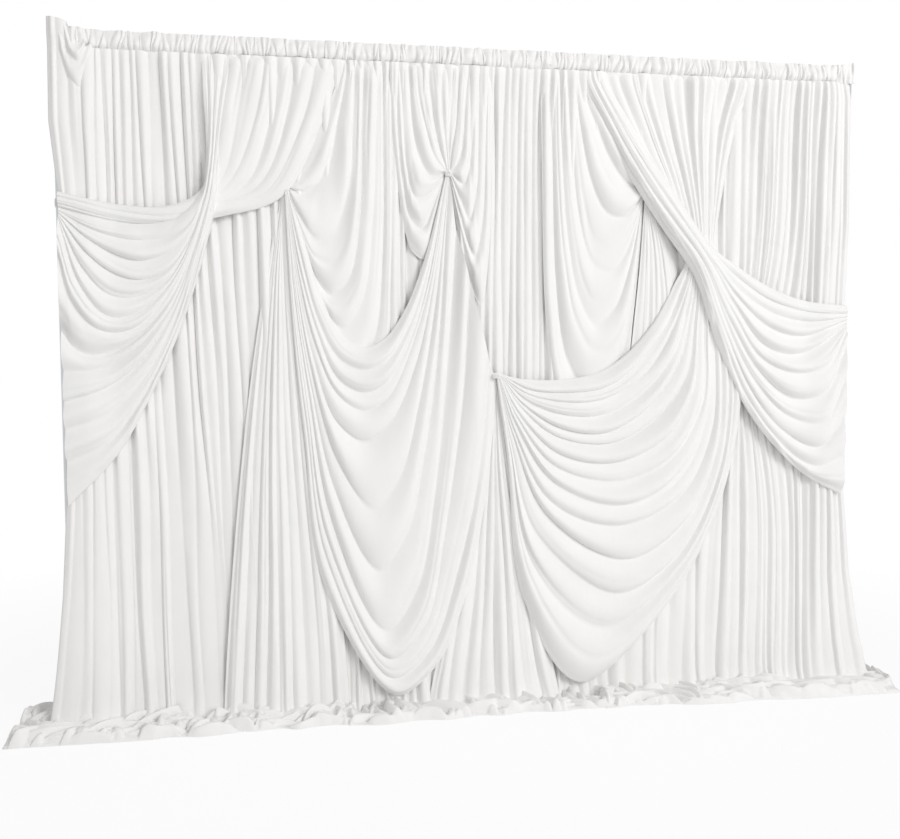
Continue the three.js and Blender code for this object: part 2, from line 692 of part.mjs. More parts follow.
// Left fan: long folds from the left gather to the floor
const leftFanFirstShares = [[-0.512, 0.68], [-0.545, 0.55], [-0.575, 0.4], [-0.6, 0.25], [-0.62, 0.1],
  [-0.63, 0.022]];
const leftFanLastShares = [[-0.462, 0.68], [-0.435, 0.55], [-0.405, 0.4], [-0.372, 0.25], [-0.345, 0.1],
  [-0.335, 0.022]];
const leftFanCount = 7;

// Centre fan: long folds from the centre gather to the floor
const centreFanFirstShares = [[0.01, 0.38], [-0.03, 0.27], [-0.075, 0.14], [-0.12, 0.022]];
const centreFanLastShares = [[0.08, 0.38], [0.12, 0.27], [0.165, 0.14], [0.21, 0.022]];
const centreFanCount = 6;

// Right cowl and fan: curves from the bar to the gather behind the rope, and folds below it
const rightCowlShares = [
  [...fromBar(0.258), [0.276, 0.915], [0.31, 0.86], [0.362, 0.812], [0.4, 0.797]],
  [...fromBar(0.243), [0.258, 0.9], [0.287, 0.82], [0.33, 0.773], [0.375, 0.762], [0.41, 0.775]],
  [...fromBar(0.226), [0.237, 0.88], [0.26, 0.77], [0.3, 0.695], [0.345, 0.68], [0.386, 0.707],
    [0.415, 0.757]],
  [...fromBar(0.205), [0.211, 0.86], [0.229, 0.72], [0.262, 0.62], [0.305, 0.58], [0.352, 0.602],
    [0.394, 0.675]],
  [...fromBar(0.185), [0.189, 0.84], [0.204, 0.66], [0.24, 0.54], [0.3, 0.495], [0.362, 0.53], [0.405, 0.63]],
];
const rightFanFirstShares = [[0.434, 0.7], [0.425, 0.6], [0.41, 0.5]];
const rightFanLastShares = [[0.488, 0.71], [0.512, 0.62], [0.525, 0.52]];
const rightFanCount = 4;

// Right swag: from the centre gather in deepening curves to the crossing, then up to the bar
const swagShares = [
  [[0.12, 0.503], [0.22, 0.502], [0.31, 0.512], [0.39, 0.542], [0.46, 0.59], [0.515, 0.648]],
  [[0.125, 0.493], [0.22, 0.488], [0.32, 0.496], [0.41, 0.528], [0.475, 0.578], [0.525, 0.64]],
  [[0.125, 0.484], [0.22, 0.472], [0.33, 0.477], [0.43, 0.512], [0.492, 0.565], [0.535, 0.63]],
  [[0.12, 0.476], [0.21, 0.455], [0.33, 0.453], [0.44, 0.49], [0.508, 0.549], [0.546, 0.62]],
  [[0.115, 0.468], [0.205, 0.436], [0.34, 0.428], [0.455, 0.468], [0.525, 0.532], [0.557, 0.61]],
  [[0.11, 0.46], [0.2, 0.415], [0.35, 0.403], [0.47, 0.443], [0.545, 0.513], [0.568, 0.6]],
  [[0.105, 0.452], [0.2, 0.394], [0.36, 0.376], [0.49, 0.416], [0.565, 0.492], [0.581, 0.59]],
  [[0.1, 0.445], [0.195, 0.372], [0.365, 0.347], [0.505, 0.388], [0.585, 0.47], [0.595, 0.58]],
  [[0.095, 0.437], [0.19, 0.35], [0.37, 0.316], [0.52, 0.356], [0.605, 0.448], [0.61, 0.57]],
  [[0.09, 0.43], [0.185, 0.325], [0.38, 0.278], [0.54, 0.32], [0.62, 0.423], [0.625, 0.56]],
  [[0.087, 0.42], [0.172, 0.305], [0.39, 0.235], [0.555, 0.29], [0.633, 0.4], [0.641, 0.55]],
  [[0.083, 0.41], [0.155, 0.27], [0.365, 0.178], [0.545, 0.245], [0.641, 0.37], [0.66, 0.535]],
  [[0.08, 0.4], [0.14, 0.225], [0.33, 0.107], [0.53, 0.2], [0.647, 0.345], [0.68, 0.52]],
  [[0.075, 0.39], [0.122, 0.17], [0.27, 0.032], [0.5, 0.145], [0.645, 0.31], [0.698, 0.505]],
];
const swagFirstShares = [[0.549, 0.702], [0.485, 0.79], [0.4, 0.88], [0.335, 0.965], [0.335, 0.99]];
const swagLastShares = [[0.625, 0.672], [0.638, 0.8], [0.668, 0.9], [0.705, 0.965], [0.705, 0.99]];

// Right crossed drape: a rope of cloth off the bar, over the swag, fanned out to the right upright
const rightCrossFirstShares = [...fromBar(0.322), [0.39, 0.89], [0.46, 0.825], [0.533, 0.764], [0.598, 0.712]];
const rightCrossLastShares = [...fromBar(0.266), [0.338, 0.88], [0.42, 0.795], [0.497, 0.73], [0.567, 0.67]];
const rightCrossFanShares = [
  [[0.68, 0.676], [0.78, 0.643], [0.88, 0.624], [0.988, 0.617]],
  [[0.68, 0.663], [0.78, 0.628], [0.88, 0.612], [0.988, 0.61]],
  [[0.68, 0.648], [0.78, 0.609], [0.88, 0.597], [0.988, 0.604]],
  [[0.675, 0.636], [0.77, 0.588], [0.87, 0.577], [0.988, 0.598]],
  [[0.67, 0.623], [0.76, 0.563], [0.86, 0.548], [0.988, 0.592]],
  [[0.66, 0.612], [0.75, 0.54], [0.85, 0.513], [0.935, 0.53], [0.988, 0.585]],
  [[0.653, 0.602], [0.74, 0.521], [0.84, 0.478], [0.93, 0.488], [0.989, 0.57]],
  [[0.646, 0.594], [0.73, 0.505], [0.83, 0.447], [0.93, 0.44], [0.989, 0.51]],
  [[0.639, 0.588], [0.72, 0.493], [0.82, 0.422], [0.92, 0.395], [0.988, 0.44]],
  [[0.63, 0.583], [0.71, 0.482], [0.81, 0.405], [0.91, 0.365], [0.985, 0.377]],
  [[0.612, 0.597], [0.66, 0.527], [0.72, 0.46], [0.8, 0.4], [0.89, 0.352], [0.985, 0.322]],
];

function fan(first, last, count, place, radius, fromAngle, toAngle) {
  return Array.from({ length: count + 1 }, (_, k) => [
    gathered(place, radius, fromAngle, toAngle, k / count), ...blendLines(first, last, k / count),
  ]);
}

function endGathered(lines, place, radius, fromAngle, toAngle) {
  return lines.map((line, k) => [...line, gathered(place, radius, fromAngle, toAngle,
    k / (lines.length - 1))]);
}

function crossed(first, last, tails) {
  return tails.map((tail, k) => [...blendLines(first, last, k / (tails.length - 1)), ...tail]);
}

// Straight panel: a header round the bar and pleats below it, passing in front of the uprights
function header(from, to, boreHeight) {
  const front = -headerFront;
  const crown = barAxis + barRadius + pocketSlack;
  const outline = new THREE.Shape([
    new THREE.Vector2(front, headerBottom), new THREE.Vector2(pocketBack / 2, headerBottom),
    new THREE.Vector2(pocketBack, barAxis - barRadius / 2), new THREE.Vector2(pocketBack,
      barAxis + barRadius / 2),
    new THREE.Vector2(pocketBack / 2, crown), new THREE.Vector2(front + headerFrill, drapeTop),
    new THREE.Vector2(front, drapeTop),
  ]);
  const bore = new THREE.Path();
  bore.absarc(0, boreHeight, pocketRadius, 0, 2 * Math.PI, true);
  outline.holes.push(bore);
  const matrix = new THREE.Matrix4().set(0, 0, 1, from, 1, 0, 0, 0, 0, 1, 0, 0, 0, 0, 0, 1);
  return new THREE.ExtrudeGeometry(outline, { depth: to - from, bevelEnabled: false,
    curveSegments: pocketSteps })
    .applyMatrix4(matrix);
}

function backDrape(from, to, pleats, boreHeight, earRise, flare) {
  const headerReach = postX - headerEnd;
  const turn = postX - earInset;
  // Ridges come as far forward as the header, so that the drapes in front rest on both
  const ridgeDepth = headerFront - clothThickness;
  const bottom = hemHeight + gap;
  const belowHeader = headerBottom + gap;
  // Column: place across, depth, and height of its top
  const columns = [];
  const inner = Math.min(headerReach - panelWeld, Math.max(Math.abs(from), Math.abs(to)));
  const side = Math.abs(from) > Math.abs(to) ? -1 : 1;
  const start = side < 0 ? Math.max(from, -inner) : from;
  const end = side < 0 ? to : Math.min(to, inner);
  for (let i = 0; i <= 2 * pleats; i += 1) {
    columns.push([start + (end - start) * i / (2 * pleats), i % 2 ? ridgeDepth : -pleatBack, belowHeader]);
  }
  if (Math.max(Math.abs(from), Math.abs(to)) > inner) {
    const edge = [[turn - 2 * panelWeld, ridgeDepth, belowHeader],
      [turn - panelWeld, postFront, belowHeader]];
    for (let i = 0; i <= edgeFolds; i += 1) {
      const share = i / edgeFolds;
      const depth = postFront + (i % 2 ? 2 * clothThickness : 0);
      edge.push([turn + (drapeHalf - turn) * share, depth, drapeTop + earRise * share]);
    }
    edge.forEach(([x, depth, top]) => columns.push([side * x, depth, top]));
    columns.sort((a, b) => a[0] - b[0]);
  }
  const front = [];
  const back = [];
  for (const [x, depth, top] of columns) {
    const heights = [top, headerBottom - pocketSlack, flareHeight, flareHeight / 3, bottom];
    const spread = flare * Math.max(0, 1 - (drapeHalf - Math.abs(x)) / flareWidth) ** 2;
    const across = (z) => x + side * spread * Math.max(0, 1 - z / flareHeight) ** 2;
    back.push(heights.map((z) => new THREE.Vector3(across(z), -depth, z)));
    front.push(heights.map((z) => new THREE.Vector3(across(z), -depth - clothThickness, z)));
  }
  const sleeve = header(Math.max(from, -headerReach), Math.min(to, headerReach), boreHeight);
  return join(slab(front, back), sleeve);
}

// Hem let out on the floor: flat where the panel stands on it, rippled in front
function hem(from, to, columns) {
  const plateEdge = postX - plateSide / 2 - puddleEdge;
  const notch = postRadius + puddleEdge / 2;
  const far = postX + plateSide / 2 - puddleSideInset;
  const frontReach = plateSide / 2 - puddleFrontInset;
  const places = Array.from({ length: columns + 1 }, (_, i) => from + (to - from) * i / columns);
  for (const side of [-1, 1]) {
    for (const place of [plateEdge, plateEdge + puddleEdge / 2, postX - notch - gap, postX - notch,
      postX + notch,
      postX + notch + gap]) {
      if (side * place > from && side * place < to) places.push(side * place);
    }
  }
  places.sort((a, b) => a - b);
  const top = [];
  const under = [];
  places.forEach((x) => {
    const away = Math.abs(x);
    const edge = Math.max(0, (away - postX - notch) / (far - postX - notch));
    const wave = Math.sin(x / puddleBack);
    const reach = frontReach - puddleWave * (1 + wave) / 2 - edge * edge * frontReach / 2;
    const start = Math.abs(away - postX) < notch + gap / 2 ? -postFront : puddleBack;
    const floor = away > plateEdge + gap ? plateThickness + gap : hemClear;
    const step = postFront + puddleWave;
    const depths = [-start, step, (step + reach) / 2, reach];
    const rise = 1 - edge / 2;
    const heights = [hemHeight * rise, hemHeight * rise, (hemHeight + puddleWave * wave) * rise,
      puddleEdge + floor];
    top.push(depths.map((depth, j) => new THREE.Vector3(x, -depth, heights[j])));
    under.push(depths.map((depth) => new THREE.Vector3(x, -depth, floor)));
  });
  return slab(top, under);
}

// Both uprights, each on its base plate
for (const [side, x, tieShare] of [['left', -postX, leftTieShare], ['right', postX, rightTieShare]]) {
  add(`${side}_base_plate`, basePlate(), steel, x);
  add(`${side}_base_pin`, basePin(), zinc, x);
  add(`${side}_pin_bolt`, pinBolt(), zinc, x);
  add(`${side}_lower_tube`, lowerTube(), aluminium, x);
  add(`${side}_spigot`, spigot(), aluminium, x);
  add(`${side}_spigot_rivet`, spigotRivet(), zinc, x);
  add(`${side}_upper_tube`, upperTube(), aluminium, x);
  add(`${side}_top_cap`, topCap(), plastic, x);
  add(`${side}_snap_button`, snapButton(), zinc, x);
  add(`${side}_button_spring`, buttonSpring(), zinc, x);
  add(`${side}_post_tie`, postTie(tieShare * drapeTop), cloth, x);
}

// Telescoping crossbar with a hook at each end
const barEnd = postX - barStart;
const innerLength = 2 * barEnd - barLength + barOverlap;
const leftRoot = barInner - gap - plugWall - gap;
const rightRoot = sleeveInner - gap - plugWall - gap;

add('crossbar_outer_tube', barTube(barInner, barRadius, barLength), aluminium, -barEnd, 0, barAxis);
add('left_end_plug', endPlug(barInner, leftRoot), plastic, -barEnd, 0, barAxis);
add('left_hook', hookBlade(leftRoot), zinc, -barEnd, 0, barAxis);
add('left_hook_rivet', crossRivet(barRadius), zinc, -barEnd, 0, barAxis);
add('crossbar_bushing', barBushing(), plastic, barLength - barEnd, 0, barAxis);
add('crossbar_inner_tube', mirrored(barTube(sleeveInner, sleeveRadius, innerLength)), aluminium, barEnd, 0,
  barAxis);
add('crossbar_inner_glide', innerGlide(), plastic, barEnd - innerLength, 0, barAxis);
add('right_end_plug', mirrored(endPlug(sleeveInner, rightRoot)), plastic, barEnd, 0, barAxis);
add('right_hook', mirrored(hookBlade(rightRoot)), zinc, barEnd, 0, barAxis);
add('right_hook_rivet', mirrored(crossRivet(sleeveRadius)), zinc, barEnd, 0, barAxis);

// Straight panels on the bar, and the hems that lie on the floor
const outerBore = barAxis + barRadius + 2 * gap - pocketRadius;
const innerBore = barAxis + sleeveRadius + 2 * gap - pocketRadius;
// The right-hand panel hangs on whichever tube runs through it
const rightBore = barLength - barEnd + gap + bushingFlange > panelJoint ? outerBore : innerBore;
const seam = panelJoint - gap / 2;
const hemEnd = postX + plateSide / 2 - puddleSideInset;

add('left_back_drape', backDrape(-drapeHalf, -seam - gap, backPleats, outerBore, leftEarRise, leftFlare),
  cloth);
add('centre_back_drape', backDrape(-seam, seam, backPleats, outerBore, 0, 0), cloth);
add('right_back_drape', backDrape(seam + gap, drapeHalf, backPleats, rightBore, rightEarRise, rightFlare),
  cloth);
add('left_hem', hem(-hemEnd, -seam - gap, hemColumns), cloth);
add('centre_hem', hem(-seam, seam, hemColumns), cloth);
add('right_hem', hem(seam + gap, hemEnd, hemColumns), cloth);

// Swagged and crossed drapes
// Arcs of the gathers, in degrees, that the creases start or end on
const leftCowlArc = [45, -50];
const leftFanArc = [215, 300];
const bowArc = [215, -65];
const centreStartArc = [-45, -100];
const centreEndArc = [222, 285];
const swagArc = [50, -75];
const centreFanArc = [235, 305];
const rightCowlArc = [175, 250];
const rightFanArc = [262, 330];
const swagBowCount = 7;

const centreShares = centreSwagShares.map((line, k) => {
  const start = gathered(leftGatherShares, fanGather, ...centreStartArc, k / (centreSwagShares.length - 1));
  const toBow = k < swagBowCount;
  const end = gathered(bowGatherShares, bowGather, ...centreEndArc, k / (swagBowCount - 1));
  return toBow ? [start, ...line, end] : [start, ...line];
});
const rightSwagShares = swagShares.map((line, k) => {
  const share = k / (swagShares.length - 1);
  return [gathered(swagGatherShares, bowGather, ...swagArc, share), ...line,
    ...blendLines(swagFirstShares, swagLastShares, share)];
});

const flatDepth = [[0, 0], [1, 0]];
const seatShare = 0.1;
const centreDepth = [[0, 1], [0.93, 1], [1, seatShare]];
const swagDepth = [[0, 1], [0.7, 1], [0.84, 0], [1, 0]];
const beltDepth = [[0, 0], [0.04, 0], [0.38, 2], [0.72, 2], [1, 0.62]];
const rightCrossDepth = [[0, 0], [0.03, 0], [0.26, 2], [0.75, 2], [1, 0.62]];
const leftCrossDepth = [[0, 0], [0.03, 0], [0.36, 3], [0.62, 3], [1, 0.62]];
const rightCrossShares = crossed(rightCrossFirstShares, rightCrossLastShares, rightCrossFanShares);
const leftCrossShares = crossed(leftCrossFirstShares, leftCrossLastShares, leftCrossFanShares);

// Waist of a drape: the point of its creases and the row at which they line up
const centreWaist = [4, 4];
const swagWaist = [6, 5];
const beltWaist = [4, 4];
const rightCrossWaist = [5, 3];
const leftCrossWaist = [4, 3];

const leftCowlCreases = endGathered(leftCowlShares, leftGatherShares, fanGather, ...leftCowlArc);
const leftFanCreases = fan(leftFanFirstShares, leftFanLastShares, leftFanCount, leftGatherShares, fanGather,
  ...leftFanArc);
const bowCreases = endGathered(bowShares, bowGatherShares, bowGather, ...bowArc);
const centreFanCreases = fan(centreFanFirstShares, centreFanLastShares, centreFanCount, swagGatherShares,
  fanGather, ...centreFanArc);
const rightCowlCreases = endGathered(rightCowlShares, rightGatherShares, fanGather, ...rightCowlArc);
const rightFanCreases = fan(rightFanFirstShares, rightFanLastShares, rightFanCount, rightGatherShares,
  fanGather,
  ...rightFanArc);

add('left_cowl', drape(leftCowlCreases, cowlRows, flatDepth), cloth);
add('left_fan', drape(leftFanCreases, fanRows, flatDepth), cloth);
add('bow_drape', drape(bowCreases, bowRows, flatDepth), cloth);
add('centre_fan', drape(centreFanCreases, fanRows, flatDepth), cloth);
add('right_cowl', drape(rightCowlCreases, cowlRows, flatDepth), cloth);
add('right_fan', drape(rightFanCreases, fanRows, flatDepth), cloth);
add('centre_drape', drape(centreShares, drapeRows, centreDepth, centreWaist), cloth);
add('right_swag', drape(rightSwagShares, drapeRows, swagDepth, swagWaist), cloth);
add('left_belt_drape', drape(leftBeltShares, drapeRows, beltDepth, beltWaist), cloth);
add('right_crossed_drape', drape(rightCrossShares, drapeRows, rightCrossDepth, rightCrossWaist), cloth);
add('left_crossed_drape', drape(leftCrossShares, drapeRows, leftCrossDepth, leftCrossWaist), cloth);

// Elastic bands round the two gathers that show, seated on the cloth that lies foremost there
const bands = [['bow_band', bowGatherShares, seatShare], ['swag_band', swagGatherShares, 1]];
for (const [name, [x, z], layer] of bands) {
  const depth = headerFront + gap + layerPitch * layer + clothThickness + gap + bandGauge;
  const band = new THREE.TorusGeometry(bandRadius, bandGauge, bandSteps, smallSteps).rotateX(Math.PI / 2);
  add(name, band, cloth, x * drapeHalf, -depth, z * drapeTop);
}

export default backdrop;
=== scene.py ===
# %% [markdown]
# # A pipe and drape backdrop
#
# The real object is a light frame with cloth on it: two uprights on flat steel plates, a
# telescoping bar that hooks into them, and white knit drapes that slide onto the bar by a sleeve.
# The metal pieces come ready from the CAD model and only get their finishes here.
# The cloth is made here, because its look is in its folds.
# All lengths are metres, +X to the right, +Z up, and the dressed side faces -Y.

# %% The frame
import json
import math

import bpy
import numpy as np
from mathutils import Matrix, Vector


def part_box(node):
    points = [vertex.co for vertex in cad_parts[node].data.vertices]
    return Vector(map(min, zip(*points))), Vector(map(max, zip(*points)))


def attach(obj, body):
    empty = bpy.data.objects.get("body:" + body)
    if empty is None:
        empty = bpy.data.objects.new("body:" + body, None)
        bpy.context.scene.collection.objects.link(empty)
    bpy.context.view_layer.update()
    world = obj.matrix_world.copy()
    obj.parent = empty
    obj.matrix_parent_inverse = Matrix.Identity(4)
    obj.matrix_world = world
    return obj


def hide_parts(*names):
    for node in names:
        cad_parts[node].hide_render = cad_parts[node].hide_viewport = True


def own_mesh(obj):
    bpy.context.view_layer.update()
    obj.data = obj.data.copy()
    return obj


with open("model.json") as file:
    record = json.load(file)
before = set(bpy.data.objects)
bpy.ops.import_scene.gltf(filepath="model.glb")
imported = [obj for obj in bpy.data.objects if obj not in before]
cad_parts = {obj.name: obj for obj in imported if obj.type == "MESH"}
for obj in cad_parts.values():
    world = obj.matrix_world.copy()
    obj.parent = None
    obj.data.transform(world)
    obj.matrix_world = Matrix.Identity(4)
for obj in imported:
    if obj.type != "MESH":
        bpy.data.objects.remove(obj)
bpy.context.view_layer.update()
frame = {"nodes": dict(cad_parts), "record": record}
nodes = frame["nodes"]

# %% [markdown]
# ## Places that the cloth is tied to
#
# Real drapes take their size from the frame: the sleeve follows the bar, the panels reach from
# one upright to the other. So the places are read from the CAD pieces and not typed again.

# %% Sizes read from the frame
bar_low, bar_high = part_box("crossbar_outer_tube")
post_low, post_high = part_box("right_upper_tube")
panel_low, panel_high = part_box("centre_back_drape")
cowl_low, cowl_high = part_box("left_cowl")

bar_axis = (bar_low.z + bar_high.z) / 2
bar_radius = (bar_high.z - bar_low.z) / 2
post_x = (post_low.x + post_high.x) / 2
post_radius = (post_high.x - post_low.x) / 2
half_width = post_x + post_radius
drape_top = panel_high.z
stitch_height = bar_axis - bar_radius + 0.001
# The dressed drapes start at the back of a cowl, and a layer of folded cloth is about this deep
header_front = -cowl_high.y
layer_pitch = 0.026
print("bar at", round(bar_axis, 4), "drape half width", round(half_width, 4), "top", round(drape_top, 4))

# %% [markdown]
# ## The camera
#
# The picture was taken from the left of the middle, about 3.7 m in front and at chest height,
# looking slightly down. A 40 mm lens on a 36 mm sensor gives the same spread of the lines.

# %% Camera
camera_data = bpy.data.cameras.new("camera")
camera_data.lens = 40.34
camera_data.sensor_width = 36
camera = bpy.data.objects.new("camera", camera_data)
camera.location = (-0.723, -3.69, 1.375)
camera.rotation_euler = (math.radians(90 - 4.47), 0, math.radians(-9.56))
bpy.context.scene.collection.objects.link(camera)
bpy.context.scene.camera = camera
print("camera", tuple(round(v, 3) for v in camera.location))

# %% [markdown]
# ## Colours and nodes
#
# Colours are written as people pick them, as sRGB hex, and one function turns them into the
# linear numbers that the shaders add up. One more small function adds a node, sets it and links it.


# %% Helpers for materials
def linear(hex_colour):
    parts = [int(hex_colour[i : i + 2], 16) / 255 for i in (1, 3, 5)]
    return (*[p / 12.92 if p <= 0.04045 else ((p + 0.055) / 1.055) ** 2.4 for p in parts], 1)


def add_node(tree, kind, inputs=None, **settings):
    made = tree.nodes.new(kind)
    for name, value in settings.items():
        setattr(made, name, value)
    for name, value in (inputs or {}).items():
        if isinstance(value, bpy.types.NodeSocket):
            tree.links.new(value, made.inputs[name])
        else:
            made.inputs[name].default_value = value
    return made


def new_finish(name):
    material = bpy.data.materials.new(name)
    material.use_nodes = True
    tree = material.node_tree
    return material, tree, tree.nodes["Principled BSDF"]


print("white knit in linear light:", [round(v, 3) for v in linear("#F2F1EF")[:3]])

# %% [markdown]
# ## White polyester knit
#
# The drapes are a thin stretch knit: matt to satin, soft, and a little fuzzy. Sheen gives the
# pale edge that a knit shows where it turns away. The loops of the real knit are under half a
# millimetre, which is far below one pixel here, so they are drawn as 2.5 mm ribs, and very low.
# A slower, long grain stands for the small creases that a thin cloth keeps from its packing.

# %% Polyester knit
knit, tree, shader = new_finish("white_polyester_knit")
place = add_node(tree, "ShaderNodeTexCoord").outputs["Object"]
slub = add_node(tree, "ShaderNodeTexNoise", {"Vector": place, "Scale": 9.0, "Detail": 3.0})
tint = add_node(
    tree,
    "ShaderNodeMix",
    {"Factor": slub.outputs["Fac"], 6: linear("#F1F0EE"), 7: linear("#F7F6F5")},
    data_type="RGBA",
)
tree.links.new(tint.outputs[2], shader.inputs["Base Color"])
# 2.5 mm ribs: the wave texture repeats about every 1 / (scale * 3.2) m
ribs = add_node(
    tree, "ShaderNodeTexWave", {"Vector": place, "Scale": 125.0, "Distortion": 1.5, "Detail": 1.0},
    bands_direction="DIAGONAL",
)
stretched = add_node(tree, "ShaderNodeMapping", {"Vector": place, "Scale": (1.0, 1.0, 0.35)})
creasing = add_node(
    tree, "ShaderNodeTexNoise", {"Vector": stretched.outputs["Vector"], "Scale": 42.0, "Detail": 2.0}
)
fine_bump = add_node(
    tree, "ShaderNodeBump", {"Height": ribs.outputs["Fac"], "Strength": 0.12, "Distance": 0.0006}
)
soft_bump = add_node(
    tree,
    "ShaderNodeBump",
    {"Height": creasing.outputs["Fac"], "Normal": fine_bump.outputs["Normal"], "Strength": 0.25,
     "Distance": 0.003},
)
tree.links.new(soft_bump.outputs["Normal"], shader.inputs["Normal"])
satin = add_node(
    tree, "ShaderNodeMapRange",
    {"Value": slub.outputs["Fac"], "To Min": 0.55, "To Max": 0.7},
)
tree.links.new(satin.outputs["Result"], shader.inputs["Roughness"])
shader.inputs["IOR"].default_value = 1.5
shader.inputs["Sheen Weight"].default_value = 0.25
shader.inputs["Sheen Roughness"].default_value = 0.5
print(knit.name, "ready")

# %% [markdown]
# ## Tools for cloth
#
# A pleated cloth could be simulated, but the folds of a dressed backdrop are arranged by hand:
# each one starts at the bar or at a gather and follows a line that the dresser chose. So each
# drape is drawn here by its creases, smooth lines through a few points, and the cloth between
# two creases stands out as one fold. That way gives full control, runs in seconds, and is the
# same on every run.


# %% Smooth lines through given points
curve_steps = 24


def smooth_line(points, steps=curve_steps):
    """Centripetal Catmull-Rom curve through the points, the kind that never loops or overshoots."""
    points = np.array(points, float)
    before, after = 2 * points[0] - points[1], 2 * points[-1] - points[-2]
    chain = np.vstack([before, points, after])
    pieces = []
    for a, b, c, d in zip(chain, chain[1:], chain[2:], chain[3:]):
        t1 = np.linalg.norm(b - a) ** 0.5
        t2 = t1 + np.linalg.norm(c - b) ** 0.5
        t3 = t2 + np.linalg.norm(d - c) ** 0.5
        t = np.linspace(t1, t2, steps, endpoint=False)[:, None]
        a1 = (t1 - t) / t1 * a + t / t1 * b
        a2 = (t2 - t) / (t2 - t1) * b + (t - t1) / (t2 - t1) * c
        a3 = (t3 - t) / (t3 - t2) * c + (t - t2) / (t3 - t2) * d
        b1 = (t2 - t) / t2 * a1 + t / t2 * a2
        b2 = (t3 - t) / (t3 - t1) * a2 + (t - t1) / (t3 - t1) * a3
        pieces.append((t2 - t) / (t2 - t1) * b1 + (t - t1) / (t2 - t1) * b2)
    return np.vstack([*pieces, points[-1:]])


def evenly(points, count):
    """The same line with evenly spaced points."""
    length = np.concatenate([[0], np.cumsum(np.linalg.norm(np.diff(points, axis=0), axis=1))])
    at = np.linspace(0, length[-1], count)
    return np.stack([np.interp(at, length, points[:, i]) for i in range(points.shape[1])], 1)


def crease_lines(shares, rows, waist=None):
    """Creases from [x, z] shares. waist = (point, share of rows) lines them all up at one point."""
    lines = []
    for line in shares:
        fine = smooth_line([(x * half_width, z * drape_top) for x, z in line])
        if waist is None:
            lines.append(evenly(fine, rows))
            continue
        cut, first = waist[0] * curve_steps, round(rows * waist[1])
        upper = evenly(fine[: cut + 1], first + 1)
        lines.append(np.vstack([upper, evenly(fine[cut:], rows - first)[1:]]))
    return np.array(lines)


print("a curve through 3 points is drawn with", len(smooth_line([(0, 0), (1, 1), (2, 0)])))

# %% [markdown]
# Cloth is never regular. Three seeded helpers give slow random changes along a fold, over a
# surface, and from layer to layer, always the same ones for the same seed.


# %% Slow random changes
def soft_steps(count, cells):
    """Weights of a cubic B-spline with so many cells, for count places."""
    at = np.linspace(0, cells, count) - 1e-9
    cell = np.clip(at.astype(int), 0, cells - 1)
    t = at - cell
    weights = np.zeros((count, cells + 3))
    parts = ((1 - t) ** 3, 3 * t**3 - 6 * t**2 + 4, -3 * t**3 + 3 * t**2 + 3 * t + 1, t**3)
    for k, part in enumerate(parts):
        weights[np.arange(count), cell + k] += part / 6
    return weights


def rumple(rng, columns, rows, column_cells, row_cells):
    """A smooth random surface with values of about -1 to 1."""
    values = rng.uniform(-1, 1, (column_cells + 3, row_cells + 3))
    return 1.6 * soft_steps(columns, column_cells) @ values @ soft_steps(rows, row_cells).T


def wander(rng, count, rows, row_cells, low, high):
    """For each fold its own slow change along the way, between low and high."""
    values = rng.uniform(low, high, (count, row_cells + 3))
    return values @ soft_steps(rows, row_cells).T


def layer_depth(stops, rows):
    """Depth in layers along the way, from [share of the way, layer] stops, eased between them."""
    at = np.linspace(0, 1, rows)
    places, layers = np.array(stops, float).T
    index = np.clip(np.searchsorted(places, at, side="right") - 1, 0, len(places) - 2)
    part = np.clip((at - places[index]) / (places[index + 1] - places[index]), 0, 1)
    eased = part * part * (3 - 2 * part)
    return layers[index] + (layers[index + 1] - layers[index]) * eased


print("halfway up two layers the depth is", layer_depth([(0, 0), (1, 2)], 3)[1], "layer")

# %% [markdown]
# Two things push cloth forward wherever it hangs: at the uprights it passes in front of the posts,
# which are thicker than the bar, and on the floor its folds turn and run out. Both are soft ramps,
# written once, and each drape adds them to its depth.


# %% In front of the posts, and out on the floor
# The ramp in front of a post: where it starts, from the middle, and how long it is
post_ramp_start, post_ramp_length = 1.26, 0.13
# How far folds run out on the floor, and over what height they turn
floor_run, floor_turn = 0.05, 0.035


def past_post(lines):
    """0 between the uprights, 1 in front of them and beyond."""
    beyond = np.clip((np.abs(lines[..., 0]) - post_ramp_start) / post_ramp_length, 0, 1)
    return beyond * beyond * (3 - 2 * beyond)


def floor_break(lines):
    """How far the folds run out at the floor."""
    return floor_run * np.exp(-lines[..., 1] / floor_turn)


print("the folds run out on the floor by", floor_run, "m")

# %% [markdown]
# ## How folds stand and fall
#
# Between two creases the cloth rises, runs over a round ridge and drops into the next valley.
# How far it stands out depends on how far apart the creases are, up to a limit: cloth that is
# drawn together has small tight folds, and cloth that is let out has soft wide ones. Some valleys
# are deep and dark and others shallow, and along each ridge a soft dent or two fades in and out.


# %% Ridges, valleys and dents
# The stitches take away this share of a fold's height, and half of that 8 mm further on
stitch_flattening, stitch_reach = 0.6, 0.012


